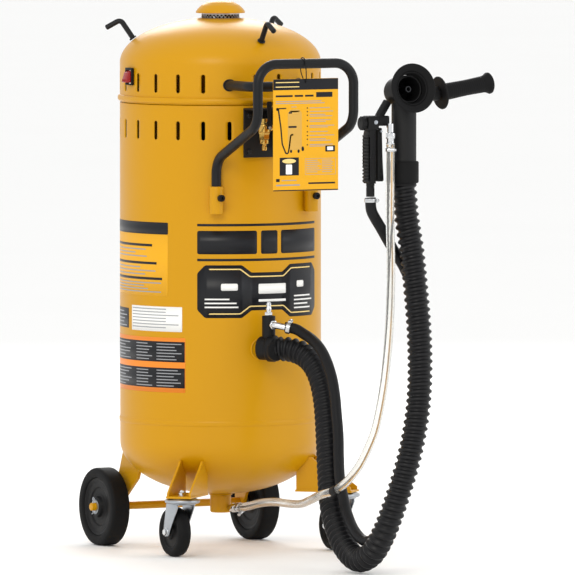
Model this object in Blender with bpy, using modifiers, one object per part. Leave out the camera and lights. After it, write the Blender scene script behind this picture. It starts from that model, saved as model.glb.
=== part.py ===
"""Wheeled abrasive blast vacuum: a tall steel tank on two wheels and two casters, with a vacuum head under a
lift-off hood, a push handle, an air regulator, three hoses and a suction and blast hand tool.

Metres, +Z up, front of the machine towards -Y. The origin is on the floor under the tank's axis.
Lengths in the functions are in millimetres and become metres when a mesh is made.
"""

import math

import bmesh
import bpy
from mathutils import Matrix, Vector

MM = 0.001
GAP = 0.3
OUTLINE_IN_YZ = Matrix(((0, 0, 1, 0), (1, 0, 0, 0), (0, 1, 0, 0), (0, 0, 0, 1)))
OUTLINE_IN_XZ = Matrix(((1, 0, 0, 0), (0, 0, -1, 0), (0, 1, 0, 0), (0, 0, 0, 1)))

# Tank and hood
TANK_R = 203.0
WALL = 2.0
DOME_H = 110.0
TANK_TANGENT_Z = 220.0
BODY_TOP_Z = 904.0
HOOD_SKIRT_Z = 905.0
HOOD_TANGENT_Z = 983.0
HOOD_DOME_H = 92.0
BEAD_Z = 913.0
NECK_R = 38.5
SEAM_Z = 265.0
ROUND_STEPS = 36
DOME_STEPS = 7

# Ventilation slots
SLOT_COUNT = 24
SLOT_W = 8.0
SLOT_H = 38.0
LOWER_SLOT_Z = 853.0
UPPER_SLOT_Z = 947.0

# Running gear
REAR_WHEEL_R = 79.0
REAR_WHEEL_W = 40.0
REAR_WHEEL_X = 172.0
REAR_AXLE_Y = 180.0
REAR_AXLE_R = 8.0
CASTER_XY = 182.0
CASTER_R = 50.0
CASTER_W = 30.0
CASTER_TRAIL = 32.0
CASTER_PLATE_Z = 120.0

# Push handle and guard bar
HANDLE_R = 9.8
HANDLE_X = 108.0
HANDLE_Y = -188.0
HANDLE_BAR_Y = -366.0
HANDLE_TOP_Z = 993.0
SOCKET_R = 14.0
SOCKET_BOTTOM_Z = 688.0
SOCKET_TOP_Z = 743.0
GUARD_R = 10.0
GUARD_X = 78.0
GUARD_Y = -290.0
GUARD_Z = 945.0

# Hoses
VACUUM_R = 25.0
BLAST_R = 11.0
MEDIA_R = 8.5

BLAST_ROUTE = (
    (1, -278, 462), (10, -281, 461), (19, -291, 458), (26, -308, 450), (29, -338, 440), (30, -370, 424),
    (30, -398, 400), (28, -424, 368), (23, -446, 334), (16, -466, 298), (8, -488, 258), (-4, -512, 218),
    (-18, -542, 180), (-28, -574, 145), (-37, -610, 110), (-43, -652, 80), (-42, -694, 63), (-34, -728, 74),
    (-22, -750, 104), (-8, -768, 144), (6, -780, 186), (18, -782, 232), (28, -778, 286), (38, -772, 346),
    (44, -762, 412), (46, -751, 486), (42, -738, 556), (28, -726, 602), (6, -724, 636), (-15, -730, 664),
    (-32, -736, 686), (-46, -740, 704), (-55, -742, 720), (-57, -742, 743.5),
)
VACUUM_ROUTE = (
    (-6, -252, 418), (13, -275, 417), (28, -302, 409), (36, -332, 391), (36, -364, 360), (28, -398, 316),
    (10, -441, 254), (-12, -488, 188), (-32, -534, 130), (-46, -584, 82), (-54, -638, 44), (-56, -692, 27),
    (-53, -742, 42), (-46, -776, 82), (-36, -796, 130), (-24, -806, 176), (-10, -812, 228), (4, -812, 284),
    (16, -807, 344), (24, -798, 412), (28, -786, 486), (28, -773, 562), (26, -760, 638), (21, -748, 704),
    (18, -742, 768),
)
MEDIA_ROUTE = (
    (14, -44, 85), (18, -80, 89), (18, -140, 100), (12, -210, 107), (-2, -300, 110), (-30, -400, 117),
    (-62, -500, 132), (-82, -580, 148), (-78, -636, 161), (-73, -680, 184), (-64, -710, 214), (-57, -730, 246),
    (-51, -750, 284), (-47, -766, 335), (-43, -777, 392), (-38, -783, 470), (-34, -783, 545), (-30, -777, 625),
    (-28, -770, 700), (-25, -765, 780), (-24, -764, 848),
)
HOSE_POINTS = 56

# Inlet fitting
INLET_X = -14.0
INLET_Z = 415.0
AIR_X = -16.0
AIR_Y = -238.0
AIR_R = 13.5

# Hand tool, held up on the end of the suction hose
TOOL_X = 18.0
TOOL_Y = -742.0
TOOL_Z = 952.0
TOOL_TUBE_R = 24.7
HEAD_X = TOOL_X - 8.0
TOOL_TILT = 8.0
GUN_X = -58.0

# Hang tag
TAG_X = -7.0
TAG_W = 147.0
TAG_TOP_Z = 964.0
TAG_BOTTOM_Z = 740.0


def clear_scene():
    for obj in list(bpy.data.objects):
        bpy.data.objects.remove(obj)


def make_material(name, colour, roughness, metallic=0.0, alpha=1.0):
    made = bpy.data.materials.new(name)
    made.use_nodes = True
    shader = made.node_tree.nodes["Principled BSDF"]
    shader.inputs["Base Color"].default_value = (*colour, 1.0)
    shader.inputs["Roughness"].default_value = roughness
    shader.inputs["Metallic"].default_value = metallic
    shader.inputs["Alpha"].default_value = alpha
    return made


def new_collection(name):
    made = bpy.data.collections.new(name)
    bpy.context.scene.collection.children.link(made)
    return made


clear_scene()
PARTS = new_collection("blast_vacuum")
CUTTERS = new_collection("cutters")
CUTTERS.hide_render = True

YELLOW = make_material("yellow_powder_coat", (0.72, 0.36, 0.015), 0.35)
BLACK = make_material("black_powder_coat", (0.02, 0.021, 0.024), 0.45)
PLASTIC = make_material("black_plastic", (0.015, 0.015, 0.015), 0.5)
RUBBER = make_material("black_rubber", (0.012, 0.012, 0.012), 0.7)
RED = make_material("red_plastic", (0.35, 0.015, 0.01), 0.3)
ZINC = make_material("zinc_plate", (0.5, 0.52, 0.55), 0.35, 1.0)
CHROME = make_material("chrome_plate", (0.75, 0.75, 0.75), 0.12, 1.0)
BRASS = make_material("brass", (0.6, 0.42, 0.15), 0.25, 1.0)
STEEL = make_material("bare_steel", (0.4, 0.4, 0.4), 0.4, 1.0)
PAPER = make_material("pleated_paper", (0.7, 0.66, 0.55), 0.9)
VINYL = make_material("clear_vinyl", (0.8, 0.78, 0.7), 0.15, 0.0, 0.45)
CARD = make_material("printed_card", (0.9, 0.5, 0.04), 0.6)


# Shapes ---------------------------------------------------------------------------------------------------


def place(name, mesh, material, collection=None):
    """Links a mesh in metres as a named object."""
    obj = bpy.data.objects.new(name, mesh)
    (collection or PARTS).objects.link(obj)
    if material:
        mesh.materials.append(material)
    if collection is CUTTERS:
        obj.hide_render = True
        obj.display_type = "WIRE"
    return obj


def shaded(obj, angle=35.0):
    obj.data.shade_smooth()
    obj.data.set_sharp_from_angle(angle=math.radians(angle))
    return obj


def to_mesh(bm, name, matrix=None):
    """Writes a bmesh in millimetres to a mesh in metres and frees it."""
    bm.transform(Matrix.Scale(MM, 4) @ (matrix or Matrix.Identity(4)))
    mesh = bpy.data.meshes.new(name)
    bm.to_mesh(mesh)
    bm.free()
    return mesh


def frame_matrix(origin, axis=(0, 0, 1)):
    """A matrix that takes local +Z to the axis and the local origin to the given point."""
    turn = Vector((0, 0, 1)).rotation_difference(Vector(axis).normalized())
    return Matrix.Translation(Vector(origin)) @ turn.to_matrix().to_4x4()


def box(name, low, high, material=None, bevel=0.0, collection=None, matrix=None):
    bm = bmesh.new()
    bmesh.ops.create_cube(bm, size=1.0)
    low, high = Vector(low), Vector(high)
    size = high - low
    shape = Matrix.Translation((low + high) / 2) @ Matrix.Diagonal((*size, 1.0))
    bm.transform(shape)
    if bevel:
        bmesh.ops.bevel(bm, geom=bm.edges[:], offset=bevel, segments=2, affect="EDGES", profile=0.5)
    return place(name, to_mesh(bm, name, matrix), material, collection)


def rod(name, start, end, radius, material=None, sides=16, end_radius=None, bevel=0.0, collection=None):
    """A round bar, or a cone with end_radius, from one point to another."""
    start, end = Vector(start), Vector(end)
    length = (end - start).length
    bm = bmesh.new()
    far = radius if end_radius is None else end_radius
    bmesh.ops.create_cone(
        bm, cap_ends=True, segments=sides, radius1=radius, radius2=far, depth=length
    )
    bmesh.ops.translate(bm, verts=bm.verts[:], vec=(0, 0, length / 2))
    if bevel:
        rims = [edge for edge in bm.edges if abs(edge.verts[0].co.z - edge.verts[1].co.z) < 1e-4]
        bmesh.ops.bevel(bm, geom=rims, offset=bevel, segments=2, affect="EDGES", profile=0.5)
    mesh = to_mesh(bm, name, frame_matrix(start, end - start))
    return shaded(place(name, mesh, material, collection))


def turned(name, profile, material=None, origin=(0, 0, 0), axis=(0, 0, 1), steps=24, collection=None):
    """A turned solid. The (radius, height) profile runs down the outer side. It closes on itself unless both
    its ends lie on the axis."""
    closed = profile[0][0] > 0 or profile[-1][0] > 0
    bm = bmesh.new()
    points = [bm.verts.new((r, 0, z)) for r, z in profile]
    for first, second in zip(points, points[1:]):
        bm.edges.new((first, second))
    if closed:
        bm.edges.new((points[-1], points[0]))
    matrix = frame_matrix(origin, axis)
    mesh = to_mesh(bm, name)
    obj = place(name, mesh, material, collection)
    obj.matrix_world = Matrix.Translation(matrix.translation * MM) @ matrix.to_3x3().to_4x4()
    screw = obj.modifiers.new("turn", "SCREW")
    screw.steps = steps
    screw.render_steps = steps
    screw.use_merge_vertices = True
    screw.merge_threshold = 0.00001
    screw.use_smooth_shade = True
    screw.use_normal_calculate = False
    return obj


def prism(name, outline, low, high, material=None, matrix=None, collection=None, bevel=0.0):
    """An outline in XY, pulled from one height to another."""
    bm = bmesh.new()
    face = bm.faces.new([bm.verts.new((x, y, low)) for x, y in outline])
    grown = bmesh.ops.extrude_face_region(bm, geom=[face])
    moved = [item for item in grown["geom"] if isinstance(item, bmesh.types.BMVert)]
    bmesh.ops.translate(bm, verts=moved, vec=(0, 0, high - low))
    bmesh.ops.recalc_face_normals(bm, faces=bm.faces[:])
    if bevel:
        bmesh.ops.bevel(bm, geom=bm.edges[:], offset=bevel, segments=1, affect="EDGES", profile=0.5)
    return place(name, to_mesh(bm, name, matrix), material, collection)


def rounded_outline(width, height, radius, steps=4):
    """A rectangle with round corners, centred on the origin."""
    points = []
    for sx, sy, start in ((1, 1, 0), (-1, 1, 90), (-1, -1, 180), (1, -1, 270)):
        for step in range(steps + 1):
            angle = math.radians(start + 90 * step / steps)
            x = sx * (width / 2 - radius) + radius * math.cos(angle)
            y = sy * (height / 2 - radius) + radius * math.sin(angle)
            points.append((x, y))
    return [p for p, q in zip(points, points[1:] + points[:1]) if math.dist(p, q) > 1e-6]


def tube(name, points, radius, material, resolution=2, collection=None):
    """A round bar along points, as a curve with filled caps."""
    curve = bpy.data.curves.new(name, "CURVE")
    curve.dimensions = "3D"
    spline = curve.splines.new("POLY")
    spline.points.add(len(points) - 1)
    for point, place_mm in zip(spline.points, points):
        point.co = (*(Vector(place_mm) * MM), 1.0)
    curve.bevel_depth = radius * MM
    curve.bevel_resolution = resolution
    curve.use_fill_caps = True
    curve.materials.append(material)
    obj = bpy.data.objects.new(name, curve)
    (collection or PARTS).objects.link(obj)
    return obj


def made_mesh(obj):
    """Turns a curve, or a mesh with modifiers, into a plain closed mesh object of the same name."""
    name = obj.name
    home = obj.users_collection[0]
    bpy.context.view_layer.update()
    graph = bpy.context.evaluated_depsgraph_get()
    mesh = bpy.data.meshes.new_from_object(obj.evaluated_get(graph))
    matrix = obj.matrix_world.copy()
    hidden = obj.hide_render
    bpy.data.objects.remove(obj)
    bm = bmesh.new()
    bm.from_mesh(mesh)
    bmesh.ops.remove_doubles(bm, verts=bm.verts[:], dist=0.000002)
    bm.to_mesh(mesh)
    bm.free()
    made = bpy.data.objects.new(name, mesh)
    made.matrix_world = matrix
    made.hide_render = hidden
    home.objects.link(made)
    return made


def boolean(obj, other, operation):
    """Adds or cuts another object, which moves to the cutters."""
    if other.type == "CURVE":
        other = made_mesh(other)
    for home in list(other.users_collection):
        home.objects.unlink(other)
    CUTTERS.objects.link(other)
    other.hide_render = True
    other.display_type = "WIRE"
    step = obj.modifiers.new(operation.lower(), "BOOLEAN")
    step.operation = operation
    step.object = other
    return obj


def joined(obj, *others):
    for other in others:
        boolean(obj, other, "UNION")
    return obj


def cut(obj, *others):
    for other in others:
        boolean(obj, other, "DIFFERENCE")
    return obj


def smooth_path(points, count):
    """Evenly spaced points on a Catmull-Rom curve through the given points."""
    points = [Vector(p) for p in points]
    ends = [2 * points[0] - points[1]] + points + [2 * points[-1] - points[-2]]
    fine = []
    for a, b, c, d in zip(ends, ends[1:], ends[2:], ends[3:]):
        for step in range(24):
            t = step / 24
            fine.append(
                0.5 * (2 * b + (c - a) * t + (2 * a - 5 * b + 4 * c - d) * t**2 + (3 * b - a - 3 * c + d) * t**3)
            )
    fine.append(points[-1])
    lengths = [0.0]
    for first, second in zip(fine, fine[1:]):
        lengths.append(lengths[-1] + (second - first).length)
    result = []
    at = 0
    for number in range(count):
        wanted = lengths[-1] * number / (count - 1)
        while at < len(fine) - 2 and lengths[at + 1] < wanted:
            at += 1
        span = lengths[at + 1] - lengths[at]
        result.append(fine[at].lerp(fine[at + 1], (wanted - lengths[at]) / span))
    return result


def bent(corners, radius, steps=6):
    """Straight runs with round bends of one radius at each inner corner."""
    corners = [Vector(c) for c in corners]
    path = [corners[0]]
    for before, corner, after in zip(corners, corners[1:], corners[2:]):
        into = (corner - before).normalized()
        out = (after - corner).normalized()
        turn = into.angle(out)
        reach = radius * math.tan(turn / 2)
        start = corner - into * reach
        centre = start + (out - into * into.dot(out)).normalized() * radius
        axis = into.cross(out).normalized()
        for step in range(steps + 1):
            path.append(centre + Matrix.Rotation(turn * step / steps, 3, axis) @ (start - centre))
    path.append(corners[-1])
    return path


def hose_path(route):
    return smooth_path(route, HOSE_POINTS)


def hose_end(route):
    """A hose's first point, and the direction from it back into its fitting."""
    first, second = hose_path(route)[:2]
    return first, (first - second).normalized()


def ellipse_arc(radius, rise, base_z, count, start=90.0, end=0.0):
    """Points of a dome's profile from its crown at 90 degrees to its tangent line at 0."""
    arc = []
    for step in range(count + 1):
        angle = math.radians(start + (end - start) * step / count)
        arc.append((radius * math.cos(angle) if angle < math.pi / 2 - 1e-9 else 0.0,
                    base_z + rise * math.sin(angle)))
    return arc


def dome_rise(radius, rise, at):
    """A dome's height over its tangent line at a distance from its axis."""
    return rise * math.sqrt(1 - (at / radius) ** 2)


def radial(azimuth, radius, z):
    """A point at an angle from the front, -Y, turning towards +X."""
    angle = math.radians(azimuth)
    return Vector((radius * math.sin(angle), -radius * math.cos(angle), z))


def slot_cutters(name, z, azimuths):
    """One cutter that holds a rounded slot through the wall at each azimuth."""
    bm = bmesh.new()
    outline = rounded_outline(SLOT_W, SLOT_H, SLOT_W / 2 - 0.5, 1)
    for azimuth in azimuths:
        out = radial(azimuth, 1.0, 0.0)
        side = Vector((-out.y, out.x, 0))
        rings = [
            [bm.verts.new(out * reach + side * x + Vector((0, 0, z + y))) for x, y in outline]
            for reach in (TANK_R - 12, TANK_R + 12)
        ]
        bm.faces.new(rings[0])
        bm.faces.new(rings[1])
        for index in range(len(outline)):
            after = (index + 1) % len(outline)
            bm.faces.new((rings[0][index], rings[0][after], rings[1][after], rings[1][index]))
    bmesh.ops.recalc_face_normals(bm, faces=bm.faces[:])
    return place(name, to_mesh(bm, name), None, CUTTERS)


def tank_envelope(name, clearance=GAP):
    """The tank's outer form, a little larger, which trims what is welded to it."""
    dome = ellipse_arc(TANK_R + clearance, DOME_H + clearance, 0, DOME_STEPS)
    bottom = [(r, TANK_TANGENT_Z - z) for r, z in reversed(dome)]
    return turned(name, [(0.0, BODY_TOP_Z), (TANK_R + clearance, BODY_TOP_Z)] + bottom, steps=ROUND_STEPS,
                  collection=CUTTERS)


# Tank and vacuum head -------------------------------------------------------------------------------------


def build_tank():
    dome_out = [(r, TANK_TANGENT_Z - z) for r, z in reversed(ellipse_arc(TANK_R, DOME_H, 0, DOME_STEPS))]
    dome_in = [(r, TANK_TANGENT_Z - z) for r, z in ellipse_arc(TANK_R - WALL, DOME_H - WALL, 0, DOME_STEPS)]
    lip = [
        (TANK_R, SEAM_Z + 4),
        (TANK_R + 1.5, SEAM_Z + 3),
        (TANK_R + 1.5, SEAM_Z - 3),
        (TANK_R, SEAM_Z - 4),
    ]
    profile = dome_in + [(TANK_R - WALL, BODY_TOP_Z), (TANK_R, BODY_TOP_Z)] + lip + dome_out
    tank = turned("tank_shell", profile, YELLOW, steps=ROUND_STEPS)
    cut(tank, slot_cutters("lower_slots", LOWER_SLOT_Z, [7.5 + 15 * i for i in range(SLOT_COUNT)]))
    cut(tank, rod("outlet_hole", (0, 0, 90), (0, 0, 135), 17.0, sides=20, collection=CUTTERS))
    cut(tank, rod("inlet_hole", (INLET_X, -150, INLET_Z), (INLET_X, -230, INLET_Z), 20.3, sides=20,
                  collection=CUTTERS))


def build_head():
    """The deck that closes the tank, the suction motor on it and the cartridge filter under it."""
    turned(
        "motor_deck",
        [(199.0, 812.0), (199.0, 806.0), (62.0, 806.0), (62.0, 812.0)],
        ZINC,
        steps=24,
    )
    turned(
        "motor_housing",
        [(0, 884.0), (44.0, 884.0), (58.0, 876.0), (70.0, 872.0), (74.0, 866.0), (74.0, 812.3), (70.0, 812.3),
         (70.0, 862.0), (54.0, 866.0), (30.0, 872.0), (0, 872.0)],
        PLASTIC,
        steps=16,
    )
    rotor = [(0, 865.0), (26.0, 865.0), (26.0, 852.0), (40.0, 850.0), (60.0, 846.0), (60.0, 822.0), (0, 822.0)]
    turned("motor_rotor", rotor, ZINC, steps=12)
    turned(
        "filter_cartridge",
        [(92.0, 805.5), (92.0, 560.0), (64.0, 560.0), (64.0, 805.5)],
        PAPER,
        steps=20,
    )
    end_cap = [(0, 559.5), (94.0, 559.5), (94.0, 552.0), (14.0, 551.5), (14.0, 540.0), (0, 540.0)]
    turned("filter_end_cap", end_cap, ZINC, steps=16)


def hood_profile():
    """Inner side up, then outer side down, with a rolled bead over the skirt."""
    bead = [
        (TANK_R, BEAD_Z + 9),
        (TANK_R + 1.2, BEAD_Z + 6),
        (TANK_R + 4.6, BEAD_Z + 2.5),
        (TANK_R + 4.6, BEAD_Z - 2.5),
        (TANK_R + 1.2, BEAD_Z - 6),
        (TANK_R, HOOD_SKIRT_Z),
    ]
    inner = [(NECK_R, HOOD_TANGENT_Z + dome_rise(TANK_R - WALL, HOOD_DOME_H - WALL, NECK_R))]
    dome_in = ellipse_arc(TANK_R - WALL, HOOD_DOME_H - WALL, HOOD_TANGENT_Z, DOME_STEPS)
    inner += [p for p in dome_in if p[0] > NECK_R]
    outer = [(NECK_R, HOOD_TANGENT_Z + dome_rise(TANK_R, HOOD_DOME_H, NECK_R))]
    dome_out = ellipse_arc(TANK_R, HOOD_DOME_H, HOOD_TANGENT_Z, DOME_STEPS)
    outer += [p for p in dome_out if p[0] > NECK_R]
    return [(TANK_R - WALL, HOOD_SKIRT_Z)] + inner[::-1] + outer + bead


def build_hood():
    hood = turned("hood", hood_profile(), YELLOW, steps=ROUND_STEPS)
    kept = [7.5 + 15 * i for i in range(SLOT_COUNT) if i not in (1, 18, 22)]
    cut(hood, slot_cutters("upper_slots", UPPER_SLOT_Z, kept))
    switch_hole = box("switch_hole", (-215, -12, 943), (-190, 12, 973), collection=CUTTERS)
    cut(hood, switch_hole)
    crown = HOOD_TANGENT_Z + HOOD_DOME_H
    turned("vent_screen", [(38.0, 1083.0), (38.0, crown - 7.0), (36.4, crown - 7.0), (36.4, 1083.0)], STEEL,
           steps=20)
    cap = [(0, 1109.0), (18.0, 1106.8), (34.0, 1100.0), (45.0, 1091.0), (50.0, 1084.5), (50.0, 1083.3),
           (47.0, 1084.2), (35.0, 1084.2), (0, 1084.2)]
    turned("vent_cap", cap, YELLOW, steps=24)


def build_hooks():
    for number, azimuth in enumerate((0.0, 120.0, -120.0), 1):
        lean = math.radians(34)
        base = radial(azimuth, 176.0, 1031.0)
        out = radial(azimuth, 1.0, 0.0)
        knee = base + out * 46 * math.sin(lean) + Vector((0, 0, 46 * math.cos(lean)))
        tip = knee + out * 30 + Vector((0, 0, -17))
        root = base + (knee - base).normalized()
        path = bent([root, knee, tip], 9.0, 4)
        tube(f"hose_hook_{number}", path, 5.5, BLACK, 2)


def build_switch():
    bezel = box("switch_bezel", (-209.5, -14, 941), (-203.5, 14, 976), BLACK, bevel=1.0)
    cut(bezel, box("switch_window", (-216, -10.5, 943.8), (-195, 10.5, 971), collection=CUTTERS))
    outline = [(-0.5, 12.0), (-8.0, 8.0), (-9.0, 4.0), (-14.5, -12.0), (0.0, -12.0), (6.0, -9.0), (6.0, 9.0)]
    stand = Matrix.Translation((-206.0, 0, 958.5)) @ Matrix.Rotation(math.radians(90), 4, "X")
    prism("switch_rocker", outline, -10.0, 10.0, RED, matrix=stand)


# Running gear ---------------------------------------------------------------------------------------------


def build_rear_axle():
    rod("rear_axle", (-203, REAR_AXLE_Y, REAR_WHEEL_R), (203, REAR_AXLE_Y, REAR_WHEEL_R), REAR_AXLE_R, YELLOW,
        sides=16)
    for side, word in ((-1, "left"), (1, "right")):
        inner = side * 136.0
        outline = [(REAR_AXLE_Y - 16, 65), (REAR_AXLE_Y + 16, 65), (REAR_AXLE_Y + 16, 95), (150, 205),
                   (60, 205), (92, 140), (150, 96)]
        low, high = sorted((inner, inner + side * 6.0))
        leg = prism(f"axle_leg_{word}", outline, low, high, YELLOW, matrix=OUTLINE_IN_YZ)
        cut(leg, tank_envelope(f"leg_trim_{word}"))
        hole = rod(f"leg_bore_{word}", (low - 5, REAR_AXLE_Y, REAR_WHEEL_R),
                   (high + 5, REAR_AXLE_Y, REAR_WHEEL_R), REAR_AXLE_R + GAP, sides=16, collection=CUTTERS)
        cut(leg, hole)
        build_rear_wheel(word, side)


def build_rear_wheel(word, side):
    half = REAR_WHEEL_W / 2
    tread = [(60.0, half - 3), (72.0, half - 3), (REAR_WHEEL_R - 2, half - 8), (REAR_WHEEL_R, half - 13)]
    hub = [(REAR_AXLE_R + GAP, half), (22.0, half), (24.0, half - 2), (24.0, half - 12), (56.0, half - 14),
           (58.0, half - 4)]
    outer_face = hub + tread
    inner_face = [(r, -z) for r, z in reversed(outer_face)]
    turned(
        f"rear_wheel_{word}",
        outer_face + inner_face,
        RUBBER,
        origin=(side * REAR_WHEEL_X, REAR_AXLE_Y, REAR_WHEEL_R),
        axis=(side, 0, 0),
        steps=24,
    )


def build_casters():
    for side, word in ((-1, "left"), (1, "right")):
        build_caster_bracket(word, side)
        build_caster(word, side)


def build_caster_bracket(word, side):
    """A foot plate and two gussets that run out from the tank's lower dome at 45 degrees."""
    stud = Vector((side * CASTER_XY, -CASTER_XY, 0))
    out = stud.normalized()
    across = Vector((-out.y, out.x, 0))
    local = Matrix((
        (out.x, across.x, 0, 0),
        (out.y, across.y, 0, 0),
        (0, 0, 1, 0),
        (0, 0, 0, 1),
    ))
    reach = stud.length
    plate = box(f"caster_bracket_{word}", (reach - 92, -26, CASTER_PLATE_Z),
                (reach + 27, 26, CASTER_PLATE_Z + 4), YELLOW, matrix=local)
    upright = local @ OUTLINE_IN_XZ
    outline = [(reach - 90, CASTER_PLATE_Z + 2), (reach + 24, CASTER_PLATE_Z + 2),
               (reach + 24, CASTER_PLATE_Z + 10), (212, 180), (200, 190), (reach - 90, 190)]
    for sign in (-1, 1):
        gusset = prism(f"gusset_{word}_{sign}", outline, sign * 23 - 2, sign * 23 + 2, matrix=upright,
                       collection=CUTTERS)
        joined(plate, gusset)
    cut(plate, tank_envelope(f"bracket_trim_{word}"))
    bore_low = (stud.x, stud.y, CASTER_PLATE_Z - 5)
    cut(plate, rod(f"stud_bore_{word}", bore_low, (stud.x, stud.y, CASTER_PLATE_Z + 9), 6.3, sides=16,
                   collection=CUTTERS))


def build_caster(word, side):
    stud = Vector((side * CASTER_XY, -CASTER_XY, 0))
    top = CASTER_PLATE_Z
    head = [(0, top - 0.9), (30.0, top - 0.9), (35.5, top - 4), (35.5, top - 9), (31.0, top - 11),
            (0, top - 11)]
    fork = turned(f"caster_fork_{word}", head, ZINC, origin=(stud.x, stud.y, 0), steps=16)
    stem = rod(f"kingpin_{word}", (stud.x, stud.y, top - 3), (stud.x, stud.y, top + 12), 6.0, sides=12,
               collection=CUTTERS)
    nut = [(0, top + 17), (5.0, top + 15.5), (8.5, top + 11.5), (10.0, top + 4.3), (0, top + 4.3)]
    joined(fork, stem, turned(f"cap_nut_{word}", nut, origin=(stud.x, stud.y, 0), steps=8, collection=CUTTERS))
    wheel_y = stud.y + CASTER_TRAIL
    for sign in (-1, 1):
        inner = stud.x + sign * (CASTER_W / 2 + 2.5)
        low, high = sorted((inner, inner + sign * 2.5))
        outline = [(stud.y - 20, top - 10), (stud.y + 30, top - 10), (wheel_y + 12, CASTER_R),
                   (wheel_y + 8, CASTER_R - 9), (wheel_y - 8, CASTER_R - 9), (wheel_y - 14, CASTER_R + 2)]
        leg = prism(f"fork_leg_{word}_{sign}", outline, low, high, matrix=OUTLINE_IN_YZ, collection=CUTTERS)
        joined(fork, leg)
    bolt = rod(f"caster_bolt_{word}", (stud.x - 22, wheel_y, CASTER_R), (stud.x + 22, wheel_y, CASTER_R), 4.0,
               sides=12, collection=CUTTERS)
    joined(fork, bolt)
    for sign in (-1, 1):
        seat = stud.x + sign * 18
        nut = rod(f"bolt_nut_{word}_{sign}", (seat, wheel_y, CASTER_R),
                  (stud.x + sign * 26, wheel_y, CASTER_R), 7.5, sides=6, collection=CUTTERS)
        joined(fork, nut)
    half = CASTER_W / 2
    face = [(4.6, half), (14.0, half), (15.0, half - 3), (30.0, half - 5), (44.0, half - 2), (48.5, half - 4),
            (CASTER_R, half - 9)]
    profile = face + [(r, -z) for r, z in reversed(face)]
    turned(f"caster_wheel_{word}", profile, RUBBER, origin=(stud.x, wheel_y, CASTER_R), axis=(1, 0, 0),
           steps=20)


# Handle, guard and air controls -----------------------------------------------------------------------------


def build_handle():
    knee_z = 795.0
    corners = [(-HANDLE_X, HANDLE_Y, SOCKET_BOTTOM_Z + 8), (-HANDLE_X, HANDLE_Y, knee_z),
               (-HANDLE_X, HANDLE_BAR_Y, 872.0), (-HANDLE_X, HANDLE_BAR_Y, HANDLE_TOP_Z)]
    corners += [(-x, y, z) for x, y, z in reversed(corners)]
    tube("push_handle", bent(corners, 42.0, 5), HANDLE_R, BLACK, 2)
    for side, word in ((-1, "left"), (1, "right")):
        x = side * HANDLE_X
        socket = turned(
            f"handle_socket_{word}",
            [(SOCKET_R, SOCKET_TOP_Z), (SOCKET_R, SOCKET_BOTTOM_Z), (4.0, SOCKET_BOTTOM_Z),
             (4.0, SOCKET_BOTTOM_Z + 6), (HANDLE_R + GAP + 0.2, SOCKET_BOTTOM_Z + 6),
             (HANDLE_R + GAP + 0.2, SOCKET_TOP_Z)],
            YELLOW,
            origin=(x, HANDLE_Y, 0),
            steps=16,
        )
        cut(socket, tank_envelope(f"socket_trim_{word}"))
        front = HANDLE_Y - SOCKET_R
        cut(socket, rod(f"screw_hole_{word}", (x, front - 4, 720), (x, front + 5, 720), 4.2, sides=10,
                        collection=CUTTERS))
        screw = rod(f"socket_screw_{word}", (x, front - 12, 720), (x, front - 3, 720), 7.0, BLACK, sides=12)
        joined(screw, rod(f"screw_shank_{word}", (x, front - 6, 720), (x, front + 3.4, 720), 3.8, sides=10,
                          collection=CUTTERS))


def build_guard():
    start_y = -math.sqrt(TANK_R**2 - (GUARD_X - GUARD_R) ** 2) - 0.6
    corners = [(-GUARD_X, start_y, GUARD_Z), (-GUARD_X, GUARD_Y, GUARD_Z), (GUARD_X, GUARD_Y, GUARD_Z),
               (GUARD_X, start_y, GUARD_Z)]
    tube("guard_bar", bent(corners, 28.0, 5), GUARD_R, BLACK, 2)


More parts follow.
